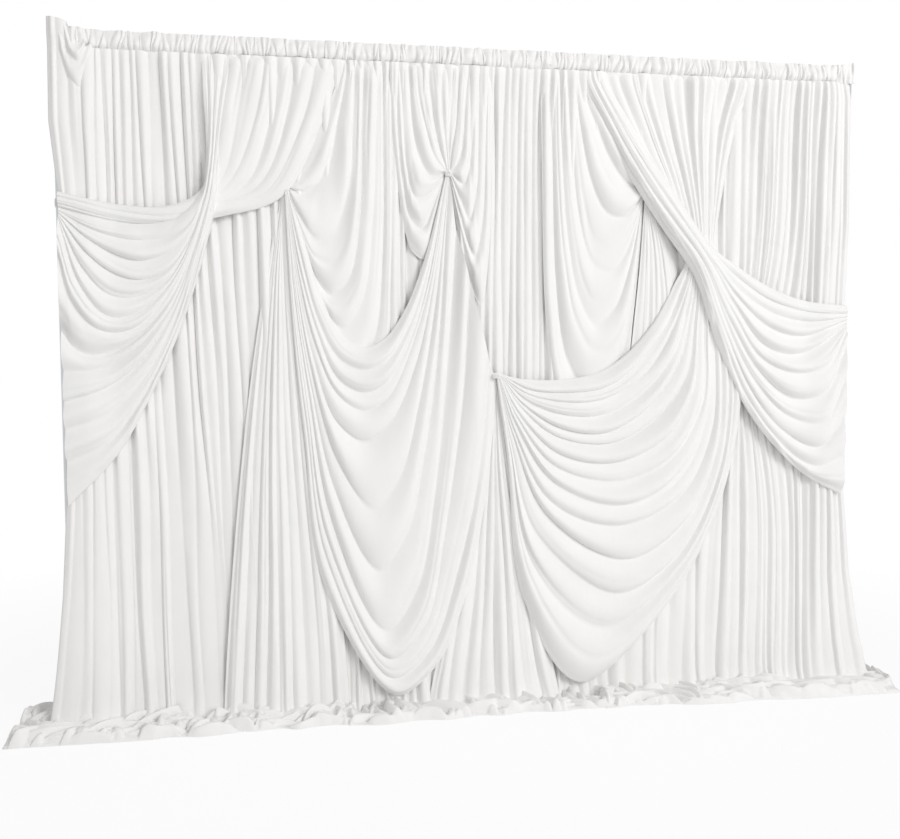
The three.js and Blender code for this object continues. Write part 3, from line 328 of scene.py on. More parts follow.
def fold_heights(lines, rng, cells, cap, fill, uneven, relief, kept, pinch, start):
    """Width of each fold across its way, and how far its ridge stands out."""
    count, rows = lines.shape[:2]
    step = np.diff(lines, axis=0)
    middle = (lines[:-1] + lines[1:]) / 2
    way = np.gradient(middle, axis=1)
    way /= np.linalg.norm(way, axis=2, keepdims=True) + 1e-12
    width = np.abs(step[..., 0] * way[..., 1] - step[..., 1] * way[..., 0])
    limit = np.broadcast_to(cap, width.shape)
    height = limit * np.tanh(fill * width / limit)
    height = height * np.minimum(wander(rng, count - 1, rows, cells, 1 - 2 * uneven, 1 + uneven), 1.1)
    if pinch:
        from_stitches = np.abs(stitch_height - middle[..., 1])
        height = height * (1 - stitch_flattening * np.exp(-from_stitches / stitch_reach))
    if relief is not None:
        rest = np.full((count - 1, 1), 0.1)
        if kept:
            rest[kept // 2 :: kept] = 0.9
        height = height * (relief + (1 - relief) * rest)
    if start:
        height = height * np.clip(np.linspace(0, 1, rows) / start, 0.25, 1) ** 0.7
    return width, height


def valley_heights(height, rng, cells, shallow):
    """How far each valley stands out: most lie deep between their folds, some are shallow."""
    count, rows = len(height) + 1, height.shape[1]
    near = np.minimum(np.vstack([height[:1], height]), np.vstack([height, height[-1:]]))
    is_shallow = rng.random(count) < shallow
    level = np.where(is_shallow, rng.uniform(0.35, 0.85, count), rng.uniform(-0.1, 0.15, count))
    valley = near * np.clip(level[:, None] + wander(rng, count, rows, cells, -0.3, 0.3), -0.15, 0.85)
    valley[[0, -1]] = 0
    return valley


def soft_dents(rng, rows, cells, count):
    """Dents along one ridge: their places across it, their widths and their depths."""
    return [
        (rng.uniform(0.2, 0.8) + 0.18 * wander(rng, 1, rows, cells, -1, 1)[0],
         rng.uniform(0.07, 0.2),
         rng.uniform(0.15, 0.55) * np.clip(wander(rng, 1, rows, cells, -1.2, 1.6)[0], 0, 1))
        for _ in range(count)
    ]


print("the stitches take away", stitch_flattening, "of a fold's height")

# %% [markdown]
# The two long edges of a drape would look cut with scissors if the cloth just ended there. A real
# edge curls, so each is rolled back in a half circle. The roll gets smaller where the cloth lies
# close to the panels behind, so that it doesn't come out at their back.


# %% Edges that roll back
smallest_roll, smallest_depth = 0.0004, 0.001
panel_bulge_at_post = 0.02


def tuck_edges(grid, width, tuck, tuck_back, behind, steps=6):
    """Rolls both long edges back. tuck and tuck_back limit its size, and behind is what it clears."""
    for end, inner, fold in ((0, 3, width[0]), (-1, -4, width[-1])):
        edge, toward = grid[end], grid[inner]
        out = edge - toward
        out[:, 1] = 0
        out /= np.linalg.norm(out, axis=1, keepdims=True) + 1e-9
        depth = -edge[:, 1]
        side = np.clip(fold, smallest_roll, tuck)[:, None]
        free = depth - behind - panel_bulge_at_post * past_post(edge[:, None, ::2])[:, 0]
        back = np.clip(free, smallest_depth, 2 * tuck_back) / 2
        rolled = []
        for i in range(1, steps + 1):
            angle = math.pi * i / steps
            turned = edge + out * side * math.sin(angle)
            turned[:, 1] += back * (1 - math.cos(angle))
            rolled.append(turned)
        last = rolled[-1] - out * 2.0 * side
        last[:, 1] += 0.3 * back
        rolled.append(last)
        rolled = np.array(rolled)
        grid = np.concatenate([rolled[::-1], grid]) if end == 0 else np.concatenate([grid, rolled])
    return grid


print("an edge rolls back by at least", 1000 * smallest_roll, "mm")

# %% [markdown]
# ## One function folds the cloth
#
# Now the cloth itself. Each crease strays a little from its line, and swags sag, so their ridges
# sit nearer the lower crease and hang over it. Where a drape is swept tight, as a belt or a rope,
# its folds are drawn flat and only two or three wide ones are left.


# %% Folding
broad_height = 0.007
rows_per_change = 24


def fold_cloth(lines, base, seed, cap=0.024, fill=0.5, skew=1.0, droop=0.0, fine=14, dents=2,
               stray=0.16, uneven=0.4, shallow=0.35, rough=0.0013, relief=None, kept=0, broad=0,
               pinch=True, start=0.0, pucker=0.0, crown=None, roll=0.5, tuck=0.012, tuck_back=0.014,
               behind=0.022):
    """A grid of points: the cloth over its creases, whose valleys start from the depth of base.

    cap limits a fold's height, fill is its height for its width, and fine its points across.
    skew moves the ridge towards the lower crease, and droop lets it hang over.
    stray, uneven, shallow, rough and dents say how irregular the folds are.
    relief is 1 along the way where folds are full and 0 where the cloth is drawn flat: there each
    kept-th fold stays, or none, and broad wide folds are added.
    pinch flattens the folds at the stitches, start is the share of the way in which they grow,
    pucker ruffles the last edge, crown arches the whole cloth, and the rest rolls the edges back.
    """
    rng = np.random.default_rng(seed)
    count, rows = lines.shape[:2]
    cells = max(3, rows // rows_per_change)
    lines = lines.copy()
    across = lines[2:] - lines[:-2]
    lines[1:-1] += 0.5 * stray * across * wander(rng, count - 2, rows, cells, -1, 1)[..., None]
    width, height = fold_heights(lines, rng, cells, cap, fill, uneven, relief, kept, pinch, start)
    low = np.broadcast_to(base, (count, rows)) + valley_heights(height, rng, cells, shallow)
    steepness = rng.uniform(0.6, 1.25, count - 1)
    lean = skew * rng.uniform(0.78, 1.28, count - 1)
    columns = []
    for k in range(count - 1):
        ridge_dents = soft_dents(rng, rows, cells, dents)
        for t in np.arange(fine) / fine:
            shape = math.sin(math.pi * t ** lean[k]) ** steepness[k] if t else 0.0
            dent = sum(depth * np.exp(-np.abs(t - place) / size) for place, size, depth in ridge_dents)
            rise = height[k] * (shape - dent * min(1, 7 * t * (1 - t)))
            under = low[k] * (1 - t) + low[k + 1] * t
            flat = lines[k] * (1 - t) + lines[k + 1] * t
            sag = droop * height[k] * shape
            columns.append(np.stack([flat[:, 0], -under - rise, flat[:, 1] - sag], 1))
    columns.append(np.stack([lines[-1, :, 0], -low[-1], lines[-1, :, 1]], 1))
    grid = np.array(columns)
    grid[..., 1] -= rough * rumple(rng, len(grid), rows, max(4, count * 2), max(6, rows // 9))
    if broad:
        turn = np.linspace(0, broad, len(grid))[:, None] + 0.5 * rumple(rng, len(grid), rows, 2, 5)
        grid[..., 1] -= broad_height * (1 - relief) * np.abs(np.sin(math.pi * turn)) ** 0.7
    if pucker:
        near_edge = np.exp(-(((len(grid) - np.arange(len(grid))) / (0.9 * fine)) ** 2))[:, None]
        grid[..., 1] -= pucker * near_edge * rumple(rng, len(grid), rows, count, rows // 5)
    if crown is not None:
        side = np.linspace(-1, 1, len(grid))[:, None]
        grid[..., 1] -= crown * np.sqrt(1 - side**2)
    return tuck_edges(grid, roll * width, tuck, tuck_back, behind) if tuck else grid


trial = fold_cloth(crease_lines([[(x, 0.5), (x, 0.4)] for x in (0.0, 0.02, 0.04)], 30), 0.05, 1)
print("two folds make a grid of", trial.shape[:2], "points")

# %% [markdown]
# ## From a grid of points to a piece of the backdrop
#
# Every drape ends up as a grid of points. One function makes the mesh, turns its faces to the
# front and smooths it. One more hangs it on the part that carries it, hides the CAD solid that it
# stands for, and prints its area beside that of the sheet it was cut from.


# %% Meshes and pieces
def cloth_mesh(name, grid, forward=True):
    """A smooth knit mesh over the grid, whose faces look forward or back."""
    columns, rows = grid.shape[:2]
    index = np.arange(columns * rows).reshape(columns, rows)
    quads = np.stack([index[:-1, :-1], index[1:, :-1], index[1:, 1:], index[:-1, 1:]], -1)
    quads = quads.reshape(-1, 4)
    a, b, d = (grid.reshape(-1, 3)[quads[:, i]] for i in (0, 1, 3))
    facing = np.cross(b - a, d - a)[:, 1].sum()
    if (facing > 0) == forward:
        quads = quads[:, ::-1]
    mesh = bpy.data.meshes.new(name)
    mesh.from_pydata(grid.reshape(-1, 3).tolist(), [], quads.tolist())
    mesh.polygons.foreach_set("use_smooth", np.ones(len(quads), bool))
    mesh.materials.append(knit)
    mesh.update()
    piece = bpy.data.objects.new(name, mesh)
    bpy.context.scene.collection.objects.link(piece)
    return piece


def cloth_area(piece):
    areas = np.zeros(len(piece.data.polygons))
    piece.data.polygons.foreach_get("area", areas)
    return areas.sum()


def hang(piece, stands_for, flat, area=None, body="crossbar_outer"):
    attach(piece, body)
    if body == "crossbar_outer":
        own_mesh(piece)
    if stands_for:
        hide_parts(*stands_for)
    cut = area or flat[0] * flat[1]
    print(f"{piece.name}: {len(piece.data.polygons)} faces, {cloth_area(piece):.2f} m2 from {cut:.2f} m2")


# %% [markdown]
# ## Straight panels
#
# Three plain panels hang behind everything else, from the sleeve on the bar to the floor. On the
# real ones the pleats are uneven: the dresser pushes the cloth along the bar by hand. The valleys
# below are listed closer together at the right, and they drift a little on the way down.
# At the uprights the cloth passes in front of the post, so there it is shallower and further out.

# %% Valleys of the straight panels
left_valley_shares = [
    -1.0, -0.985, -0.96, -0.937, -0.905, -0.888, -0.862, -0.85, -0.826, -0.806, -0.788, -0.765, -0.735,
    -0.708, -0.692, -0.672, -0.645, -0.61, -0.585, -0.55, -0.52, -0.49, -0.455, -0.425, -0.39, -0.36, -0.325,
]
centre_valley_shares = [
    -0.325, -0.31, -0.295, -0.278, -0.258, -0.24, -0.222, -0.2, -0.175, -0.15, -0.12, -0.09, -0.06, -0.03,
    0.0, 0.022, 0.045, 0.065, 0.085, 0.104, 0.122, 0.14, 0.157, 0.18, 0.2, 0.225, 0.25, 0.28, 0.3, 0.325,
]
right_valley_shares = [
    0.325, 0.36, 0.4, 0.44, 0.48, 0.52, 0.56, 0.6, 0.63, 0.66, 0.69, 0.72, 0.745, 0.77, 0.79, 0.803, 0.828,
    0.845, 0.862, 0.88, 0.892, 0.91, 0.93, 0.95, 0.972, 0.985, 1.0,
]
# Outer edges, [height, place] from the bar down: drawn in at the ties, let out at the floor
left_edge = [(2.45, -1.474), (2.12, -1.479), (1.877, -1.455), (1.677, -1.465), (1.27, -1.448), (1.09, -1.455),
             (0.8, -1.457), (0.474, -1.478), (0.264, -1.5), (0.152, -1.514), (0.0, -1.535)]
right_edge = [(2.44, 1.43), (2.3, 1.455), (2.02, 1.458), (1.82, 1.463), (1.495, 1.455), (1.36, 1.462),
              (0.86, 1.476), (0.78, 1.472), (0.459, 1.508), (0.191, 1.56), (0.124, 1.58), (0.0, 1.6)]


def edge_at(edge, z):
    heights, places = np.array(edge[::-1]).T
    return np.interp(z, heights, places)


def panel_lines(shares, rows, bottom, lean):
    """Valleys from the bar to the floor. At the left corner they start on top of the upright."""
    lines = []
    for share in shares:
        top = np.interp(share, [-1.0, -0.962, -0.958, -0.945], [2.459, 2.452, 2.44, stitch_height])
        z = np.linspace(top, bottom, rows)
        x = share * half_width + lean(share, z / drape_top) * half_width
        edge = edge_at(left_edge if share < 0 else right_edge, z)
        pull = np.clip(1 - (1 - abs(share)) / 0.16, 0, 1) ** 2
        lines.append(np.stack([x + (edge - np.sign(share) * half_width) * pull, z], 1))
    return np.array(lines)


def left_lean(share, z):
    """Below the tie the left valleys drift to the right."""
    reach = np.interp(share, [-1.0, -0.9, -0.7, -0.6, -0.33], [0, 0.005, 0.07, 0.06, 0.0])
    return reach * np.clip(1 - z / 0.97, 0, 1) ** 1.2


def no_lean(share, z):
    return 0 * z


def right_lean(share, z):
    """Beside the rope the right valleys are drawn towards it."""
    pull = 0.55 * (0.7 - share) * np.interp(share, [0.5, 0.6, 0.82, 0.9], [0, 1, 1, 0])
    return pull * np.exp(-(((z - 0.51) / 0.16) ** 2))


print("valleys:", len(left_valley_shares), len(centre_valley_shares), len(right_valley_shares))

# %% [markdown]
# The panels could be one wide cloth, but real ones are sewn from widths of about 1.5 m and hang
# side by side with their edges hidden in a pleat, so they are three pieces here too. Towards the
# floor every other pleat fades, as on real cloth, where two run together into a wider one.


# %% Straight panels
panel_rows, panel_bottom = 150, 0.006
# Depth of the valleys, and how much further out they are at the posts and under the header
panel_depth, post_step, seam_step, seam_fade = -0.007, 0.039, 0.0305, 0.11
# Highest folds: in the open, what the header takes away from that, and in front of the posts
open_cap, seam_cap_loss, post_cap = 0.029, 0.012, 0.016


def straight_panel(name, shares, lean, seed, node, merge):
    """One width of cloth. merge is the relief that every other pleat keeps near the floor."""
    lines = panel_lines(shares, panel_rows, panel_bottom, lean)
    post = past_post(lines)
    below_header = np.exp(-np.maximum(stitch_height - lines[..., 1], 0) / seam_fade)
    base = panel_depth + post_step * post + seam_step * below_header * (1 - post) + floor_break(lines)
    base += 0.01 * np.clip((lines[..., 1] - stitch_height) / 0.05, 0, 1)
    fold = (post[:-1] + post[1:]) / 2
    near_top = (below_header[:-1] + below_header[1:]) / 2
    cap = (open_cap - seam_cap_loss * near_top) * (1 - fold) + post_cap * fold
    relief = np.interp(np.linspace(0, 1, panel_rows), [0, 0.35, 0.8], [1, 0.8, merge])
    grid = fold_cloth(lines, base, seed, cap=cap, fill=0.75, fine=12, dents=1, stray=0.36,
                      uneven=0.5, shallow=0.55, relief=relief, kept=2, tuck=0.009, tuck_back=0.01,
                      behind=-0.03)
    piece = cloth_mesh(name, grid)
    hang(piece, [node], (1.5, 2.44))


straight_panel("left_straight_panel", left_valley_shares, left_lean, 11, "left_back_drape", 0.2)
straight_panel("centre_straight_panel", centre_valley_shares, no_lean, 12, "centre_back_drape", 0.6)
straight_panel("right_straight_panel", right_valley_shares, right_lean, 13, "right_back_drape", 0.4)

# %% [markdown]
# ## The header
#
# The top of the cloth is sewn into a sleeve, which is pushed together on the bar. The row of
# stitches under the bar pinches it, and above the stitches the gathers fan out to the top edge,
# crossing each other in small V shapes. So the header is folded like the rest, on short creases
# whose two ends were shuffled a little. The back of the sleeve is smoother, and it stops short
# of the uprights, where the bare bar shows.


# %% Header
# Each profile is [depth, height]: up the front from the stitches, and round the back of the bar
header_profile = [(0.0168, 2.3595), (0.0195, 2.3622), (0.0255, 2.368), (0.031, 2.377), (0.032, 2.388),
                  (0.0285, 2.402), (0.0235, 2.413), (0.0195, 2.422), (0.017, 2.4285)]
sleeve = bar_radius + 0.0085
back_profile = [(0.014, 2.402), (0.011, 2.417), (0.002, 2.42), (-0.012, bar_axis + 0.03)]
back_profile += [(-sleeve * math.cos(a), bar_axis + sleeve * math.sin(a)) for a in (0.6, 0.0, -0.6)]
back_profile += [(-0.01, stitch_height - 0.008)]
# Past the sleeve's end the header lies in front of the posts, and at the left end further out still
sleeve_end, post_depth = 1.372, 0.031
corner_places, corner_depths = [share * half_width for share in (-0.957, -0.935, -0.9)], [0.041, 0.039, 0.0]
# Its top edge stands up into an ear at both ends, and is a little toothed
ear_places, ear_heights = [-half_width, -1.4, 1.4, half_width], [0.014, 0.0, 0.0, 0.011]
tooth_height = 0.0025


def header_creases(reach_left, reach_right, profile, rng, rows, pitch):
    """Short creases across the header, between two places along the bar, and their depths."""
    length = reach_right - reach_left
    spacing = rng.uniform(0.5 * pitch, 1.5 * pitch, round(length / pitch))
    low = reach_left + np.concatenate([[0], np.cumsum(spacing)]) / spacing.sum() * length
    high = low.copy()
    drawn = np.arange(2, len(low) - 2, 2)
    drawn = drawn[rng.random(len(drawn)) < 0.6]
    low[drawn] = 0.7 * low[drawn - 1] + 0.3 * low[drawn]
    high[1:-1] = np.sort(high[1:-1] + rng.uniform(-0.9, 0.9, len(low) - 2) * pitch)
    shape = evenly(smooth_line(profile, 8), rows)
    v = np.linspace(0, 1, rows)
    ease = v * v * (3 - 2 * v)
    x = low[:, None] + (high - low)[:, None] * ease
    return np.stack([x, shape[:, 1] + 0 * x], 2), shape[:, 0] + 0 * x


def header_folds(lines, depth, seed, cap, fine):
    """Tight and uneven gathers, whose edges need no roll."""
    return fold_cloth(lines, depth, seed, cap=cap, fill=0.75, fine=fine, dents=1, stray=0.35,
                      uneven=0.55, shallow=0.6, rough=0.001, tuck=0, pinch=False)


def header_front_grid(seed, rows):
    """The dressed side, from the turned corner to the other post."""
    rng = np.random.default_rng(seed)
    lines, depth = header_creases(corner_places[0], half_width - 0.002, header_profile, rng, rows, 0.016)
    x = lines[..., 0]
    v = np.linspace(0, 1, rows)
    stitches = np.exp(-np.abs(lines[0, :, 1] - 2.3605) / 0.006)
    ear = np.interp(x, ear_places, ear_heights)
    tooth = rng.uniform(-tooth_height, tooth_height, len(x))[:, None]
    lines[..., 1] += (ear + tooth) * np.clip((v - 0.45) / 0.55, 0, 1)
    past = np.clip((np.abs(x) - sleeve_end) / 0.02, 0, 1)
    clear = np.maximum(post_depth * past, np.interp(x, corner_places, corner_depths))
    cap = 0.011 * (1 - 0.6 * stitches) * (1 - 0.3 * v)
    return header_folds(lines, np.maximum(depth, clear), seed, cap, 8)


def header_back_grid(seed, rows):
    """The back of the sleeve, with low wide folds, between the uprights."""
    rng = np.random.default_rng(seed)
    lines, depth = header_creases(-sleeve_end, sleeve_end, back_profile, rng, rows, 0.03)
    return header_folds(lines, depth, seed, 0.004, 7)


header_front_cloth = cloth_mesh("header_front", header_front_grid(21, 34))
hang(header_front_cloth, [], (3.6, 0.09))
header_back_cloth = cloth_mesh("header_back", header_back_grid(22, 24), forward=False)
hang(header_back_cloth, [], (2.9, 0.1))

# %% [markdown]
# ## Gathers
#
# Four gathers hold the dressed drapes: one at the upper left, the bow, one at the middle, and one
# behind the right-hand rope of cloth. Folds that start or end at a gather sit on a small arc
# round it, so the cloth fans out of it and doesn't meet in one point.


# %% Gathers and small helpers for crease tables
left_gather_shares = (-0.472, 0.787)
bow_gather_shares = (-0.076, 0.815)
swag_gather_shares = (0.045, 0.513)
right_gather_shares = (0.434, 0.795)
gather_radius = 0.011


def on_arc(gather, arc, share):
    """A place on the small circle round a gather, arc being its first and last angle."""
    angle = math.radians(arc[0] + (arc[1] - arc[0]) * share)
    across, up = gather_radius * math.cos(angle), gather_radius * math.sin(angle)
    return (gather[0] + across / half_width, gather[1] + up / drape_top)


def from_bar(x):
    """The first two points of a fold that hangs from the bar."""
    return [(x, 0.9735), (x, 0.962)]


def blend_lines(first, last, share):
    return [(a[0] + (b[0] - a[0]) * share, a[1] + (b[1] - a[1]) * share) for a, b in zip(first, last)]


def end_on_arc(table, gather, arc):
    count = len(table) - 1
    return [[*line, on_arc(gather, arc, k / count)] for k, line in enumerate(table)]


def fan_from(first, last, count, gather, arc):
    """Folds that fan out of a gather, evenly between a first and a last one."""
    shares = [k / count for k in range(count + 1)]
    return [[on_arc(gather, arc, share), *blend_lines(first, last, share)] for share in shares]


print("gathers at", [(round(x * half_width, 2), round(z * drape_top, 2))
                     for x, z in (left_gather_shares, bow_gather_shares)])

# %% [markdown]
# ## Hanging a drape in its layer
#
# Dressed drapes lie over each other, so each has a layer, which may change along its way where it
# crosses another one. All leave the bar under the stitches, close to the header, then come
# forward for the posts and the floor like the panels. The first and the last edge can sink back
# towards the panels, so that no gap shows behind them.


# %% One drape from its table
first_layer_gap, nearest_depth = 0.001, 0.013
# How far a drape sets back at the stitches and in the open below them, and over what heights
seam_set_back, seam_reach = 0.0085, 0.015
open_set_back, open_reach = 0.008, 0.06
post_lift = 0.016
# The three outermost creases share what an edge sinks
edge_falloff = np.array([1.0, 0.5, 0.1])[:, None]


def layer_base(lines, stops, sink):
    """Depth of a drape's valleys, from the layers it lies in along its way."""
    below_bar = np.maximum(stitch_height - lines[..., 1], 0)
    base = header_front + first_layer_gap + layer_pitch * layer_depth(stops, lines.shape[1])
    base = base + floor_break(lines) - open_set_back * (1 - np.exp(-below_bar / open_reach))
    base -= seam_set_back * np.exp(-below_bar / seam_reach)
    base += post_lift * past_post(lines)
    base[:3] -= sink[0] * edge_falloff
    base[-3:] -= sink[1] * edge_falloff[::-1]
    return np.maximum(base, nearest_depth)


def dressed(name, node, table, seed, flat, area, held, rests_on, stops=((0, 0), (1, 0)), rows=130,
            waist=None, sink=(0.0, 0.0), **how):
    """A drape from its crease table. crown and relief are [share of the way, value] stops."""
    lines = crease_lines(table, rows, waist)
    for key in [key for key in ("crown", "relief") if key in how]:
        places, values = np.array(how[key], float).T
        how[key] = np.interp(np.linspace(0, 1, rows), places, values)
    piece = cloth_mesh(name, fold_cloth(lines, layer_base(lines, stops, sink), seed, **how))
    hang(piece, [node] if node else [], flat, area)


# What the drapes of one kind have in common
cowl_edges = {"tuck": 0.006, "tuck_back": 0.007}
swag_folds = {"skew": 1.2, "droop": 0.2, "dents": 1, "stray": 0.3, "uneven": 0.5, "shallow": 0.5}
crossing_folds = {"skew": 1.15, "droop": 0.2, "cap": 0.026, "roll": 2.0, "broad": 3}
print("layers are", layer_pitch, "m apart")

# %% [markdown]
# ## Upper left cowl and its tail
#
# This drape leaves the bar, sags towards the gather in ever deeper curves, and below the gather
# its long folds fan out to the floor. Only the first and last fold of the fan are given.


# %% Left cowl and left fan
left_cowl_shares = [
    [*from_bar(-0.335), (-0.36, 0.915), (-0.402, 0.86), (-0.438, 0.822)],
    [*from_bar(-0.322), (-0.342, 0.9), (-0.37, 0.822), (-0.4, 0.786), (-0.435, 0.779)],
    [*from_bar(-0.305), (-0.313, 0.88), (-0.328, 0.79), (-0.36, 0.727), (-0.4, 0.713), (-0.438, 0.748)],
    [*from_bar(-0.28), (-0.284, 0.88), (-0.295, 0.76), (-0.325, 0.662), (-0.365, 0.638), (-0.408, 0.67),
     (-0.447, 0.74)],
    [*from_bar(-0.252), (-0.254, 0.88), (-0.262, 0.74), (-0.288, 0.63), (-0.337, 0.588), (-0.392, 0.63),
     (-0.447, 0.725)],
    [*from_bar(-0.231), (-0.233, 0.87), (-0.238, 0.7), (-0.262, 0.57), (-0.325, 0.51), (-0.4, 0.575),
     (-0.452, 0.715)],
    [*from_bar(-0.213), (-0.214, 0.86), (-0.217, 0.67), (-0.24, 0.51), (-0.32, 0.44), (-0.405, 0.52),
     (-0.455, 0.705)],
]
dressed("left_cowl_drape", "left_cowl", end_on_arc(left_cowl_shares, left_gather_shares, (45, -50)),
        31, (0.5, 1.0), 0.42, "gathered", ["crossbar_outer_tube"],
        skew=1.25, droop=0.25, fine=18, cap=0.025, start=0.05, sink=(0.0, 0.016), **cowl_edges)

left_fan_first_shares = [(-0.512, 0.68), (-0.545, 0.55), (-0.575, 0.4), (-0.6, 0.25), (-0.62, 0.1),
                         (-0.63, 0.006)]
left_fan_last_shares = [(-0.462, 0.68), (-0.435, 0.55), (-0.405, 0.4), (-0.372, 0.25), (-0.345, 0.1),
                        (-0.335, 0.006)]
left_fan_shares = fan_from(left_fan_first_shares, left_fan_last_shares, 9, left_gather_shares, (215, 300))
dressed("left_fan_drape", "left_fan", left_fan_shares, 32, (0.6, 2.0), 0.9, "hung", ["left_cowl_drape"],
        fine=14, cap=0.03, sink=(0.014, 0.0))

# %% [markdown]
# ## The turned corner
#
# At the upper left the end of the cloth is laid over the top of the upright and hangs down in one
# small fold, in front of the first gathers of the header.


# %% Small cowl at the corner
corner_shares = [
    [(-0.957, 0.999), (-0.948, 0.984), (-0.935, 0.978), (-0.923, 0.984)],
    [(-0.972, 1.003), (-0.955, 0.964), (-0.936, 0.954), (-0.919, 0.974)],
    [(-0.988, 1.004), (-0.964, 0.938), (-0.938, 0.917), (-0.912, 0.952), (-0.898, 0.984)],
]
dressed("corner_cowl", None, corner_shares, 44, (0.18, 0.16), None, "gathered", ["crossbar_outer_tube"],
        stops=[(0, 0.3), (1, 0.3)], rows=70, skew=1.2, fine=14, cap=0.02, pinch=False, stray=0.1,
        sink=(0.0, 0.012), tuck=0.004)

# %% [markdown]
# ## The bow drape
#
# The middle drape is drawn together a fifth of the way down, like a curtain in a tie. Its folds
# run straight from the bar into the gather, and at both sides a loop of slack cloth hangs past it.

# %% Bow drape
bow_shares = [
    [*from_bar(-0.222), (-0.215, 0.88), (-0.2, 0.8), (-0.186, 0.74), (-0.165, 0.702), (-0.136, 0.69),
     (-0.108, 0.745)],
    [*from_bar(-0.207), (-0.201, 0.88), (-0.187, 0.8), (-0.166, 0.745), (-0.138, 0.733), (-0.108, 0.773)],
    [*from_bar(-0.192), (-0.187, 0.9), (-0.177, 0.825), (-0.157, 0.783), (-0.125, 0.788)],
    [*from_bar(-0.175), (-0.166, 0.9), (-0.147, 0.842), (-0.12, 0.812)],
    [*from_bar(-0.155), (-0.137, 0.89), (-0.108, 0.84)],
    [*from_bar(-0.128), (-0.111, 0.89), (-0.093, 0.847)],
    [*from_bar(-0.1), (-0.09, 0.89), (-0.081, 0.852)],
    [*from_bar(-0.072), (-0.073, 0.89), (-0.074, 0.852)],
    [*from_bar(-0.047), (-0.056, 0.89), (-0.066, 0.85)],
    [*from_bar(-0.03), (-0.037, 0.9), (-0.045, 0.848), (-0.056, 0.828)],
    [*from_bar(-0.013), (-0.016, 0.9), (-0.023, 0.83), (-0.038, 0.802)],
    [*from_bar(0.003), (0.002, 0.88), (-0.004, 0.785), (-0.022, 0.742), (-0.042, 0.77)],
    [*from_bar(0.02), (0.018, 0.86), (0.011, 0.745), (-0.008, 0.69), (-0.036, 0.735)],
    [*from_bar(0.035), (0.034, 0.85), (0.028, 0.7), (0.008, 0.62), (-0.03, 0.68)],
]
dressed("bow_cloth", "bow_drape", end_on_arc(bow_shares, bow_gather_shares, (215, -65)),
        33, (0.8, 0.9), 0.4, "gathered", ["crossbar_outer_tube"], rows=100,
        skew=1.0, droop=0.15, fine=14, cap=0.026, start=0.05, sink=(0.008, 0.01), **cowl_edges)

# %% [markdown]
# ## The centre swag
#
# It hangs from the left gather in ever deeper curves, and its lowest folds almost touch the floor.
# The upper ones rise again into the bow, and the last ones run to the gather at the middle.
# A swag has few, wide folds. Cloth can't stretch, so its folds are deepest where it turns
# up towards the gathers and smooth where it hangs free in the middle.

# %% Centre swag
centre_swag_shares = [
    [(-0.43, 0.705), (-0.385, 0.617), (-0.335, 0.565), (-0.285, 0.552), (-0.235, 0.565), (-0.185, 0.607),
     (-0.14, 0.675)],
    [(-0.438, 0.69), (-0.395, 0.595), (-0.345, 0.54), (-0.288, 0.526), (-0.235, 0.54), (-0.18, 0.59),
     (-0.135, 0.665)],
    [(-0.442, 0.68), (-0.4, 0.578), (-0.35, 0.515), (-0.288, 0.497), (-0.232, 0.512), (-0.177, 0.57),
     (-0.131, 0.65)],
    [(-0.445, 0.67), (-0.405, 0.56), (-0.352, 0.485), (-0.288, 0.462), (-0.228, 0.482), (-0.172, 0.548),
     (-0.127, 0.64)],
    [(-0.447, 0.66), (-0.41, 0.54), (-0.353, 0.44), (-0.285, 0.41), (-0.22, 0.442), (-0.164, 0.52),
     (-0.121, 0.625)],
    [(-0.449, 0.65), (-0.414, 0.52), (-0.354, 0.385), (-0.268, 0.312), (-0.205, 0.352), (-0.152, 0.46),
     (-0.113, 0.59)],
    [(-0.451, 0.64), (-0.417, 0.5), (-0.363, 0.345), (-0.25, 0.212), (-0.18, 0.262), (-0.133, 0.39),
     (-0.1, 0.56)],
    [(-0.453, 0.63), (-0.42, 0.48), (-0.37, 0.3), (-0.235, 0.122), (-0.155, 0.18), (-0.105, 0.33),
     (-0.073, 0.55), (-0.058, 0.735)],
    [(-0.455, 0.62), (-0.424, 0.46), (-0.377, 0.27), (-0.228, 0.085), (-0.14, 0.13), (-0.083, 0.27),
     (-0.04, 0.46), (-0.022, 0.65)],
    [(-0.457, 0.61), (-0.428, 0.44), (-0.383, 0.24), (-0.222, 0.052), (-0.125, 0.095), (-0.06, 0.22),
     (-0.006, 0.38), (0.022, 0.545)],
    [(-0.459, 0.6), (-0.432, 0.42), (-0.39, 0.21), (-0.215, 0.028), (-0.11, 0.07), (-0.035, 0.18),
     (0.018, 0.34), (0.036, 0.44), (0.045, 0.506)],
]
folds_into_bow = 7


def centre_swag_creases():
    creases = []
    for k, line in enumerate(centre_swag_shares):
        start = on_arc(left_gather_shares, (-45, -100), k / (len(centre_swag_shares) - 1))
        into_bow = [on_arc(bow_gather_shares, (222, 285), k / (folds_into_bow - 1))]
        creases.append([start, *line, *(into_bow if k < folds_into_bow else [])])
    return creases


dressed("centre_swag_cloth", "centre_drape", centre_swag_creases(),
        34, (1.3, 2.0), 1.3, "gathered", ["left_cowl_drape", "bow_cloth"],
        stops=[(0, 0.7), (0.5, 0.8), (0.8, 0.5), (1, 0.3)], rows=170, waist=(4, 0.5),
        fine=22, cap=0.032, **swag_folds)

# %% [markdown]
# ## Folds below the middle gather, and the right-hand cowl
#
# The slack of the two middle drapes falls to the floor below the second gather. To the right of
# it a cowl hangs in front of the straight panel, and a few folds drop from its gather behind the
# rope of cloth.

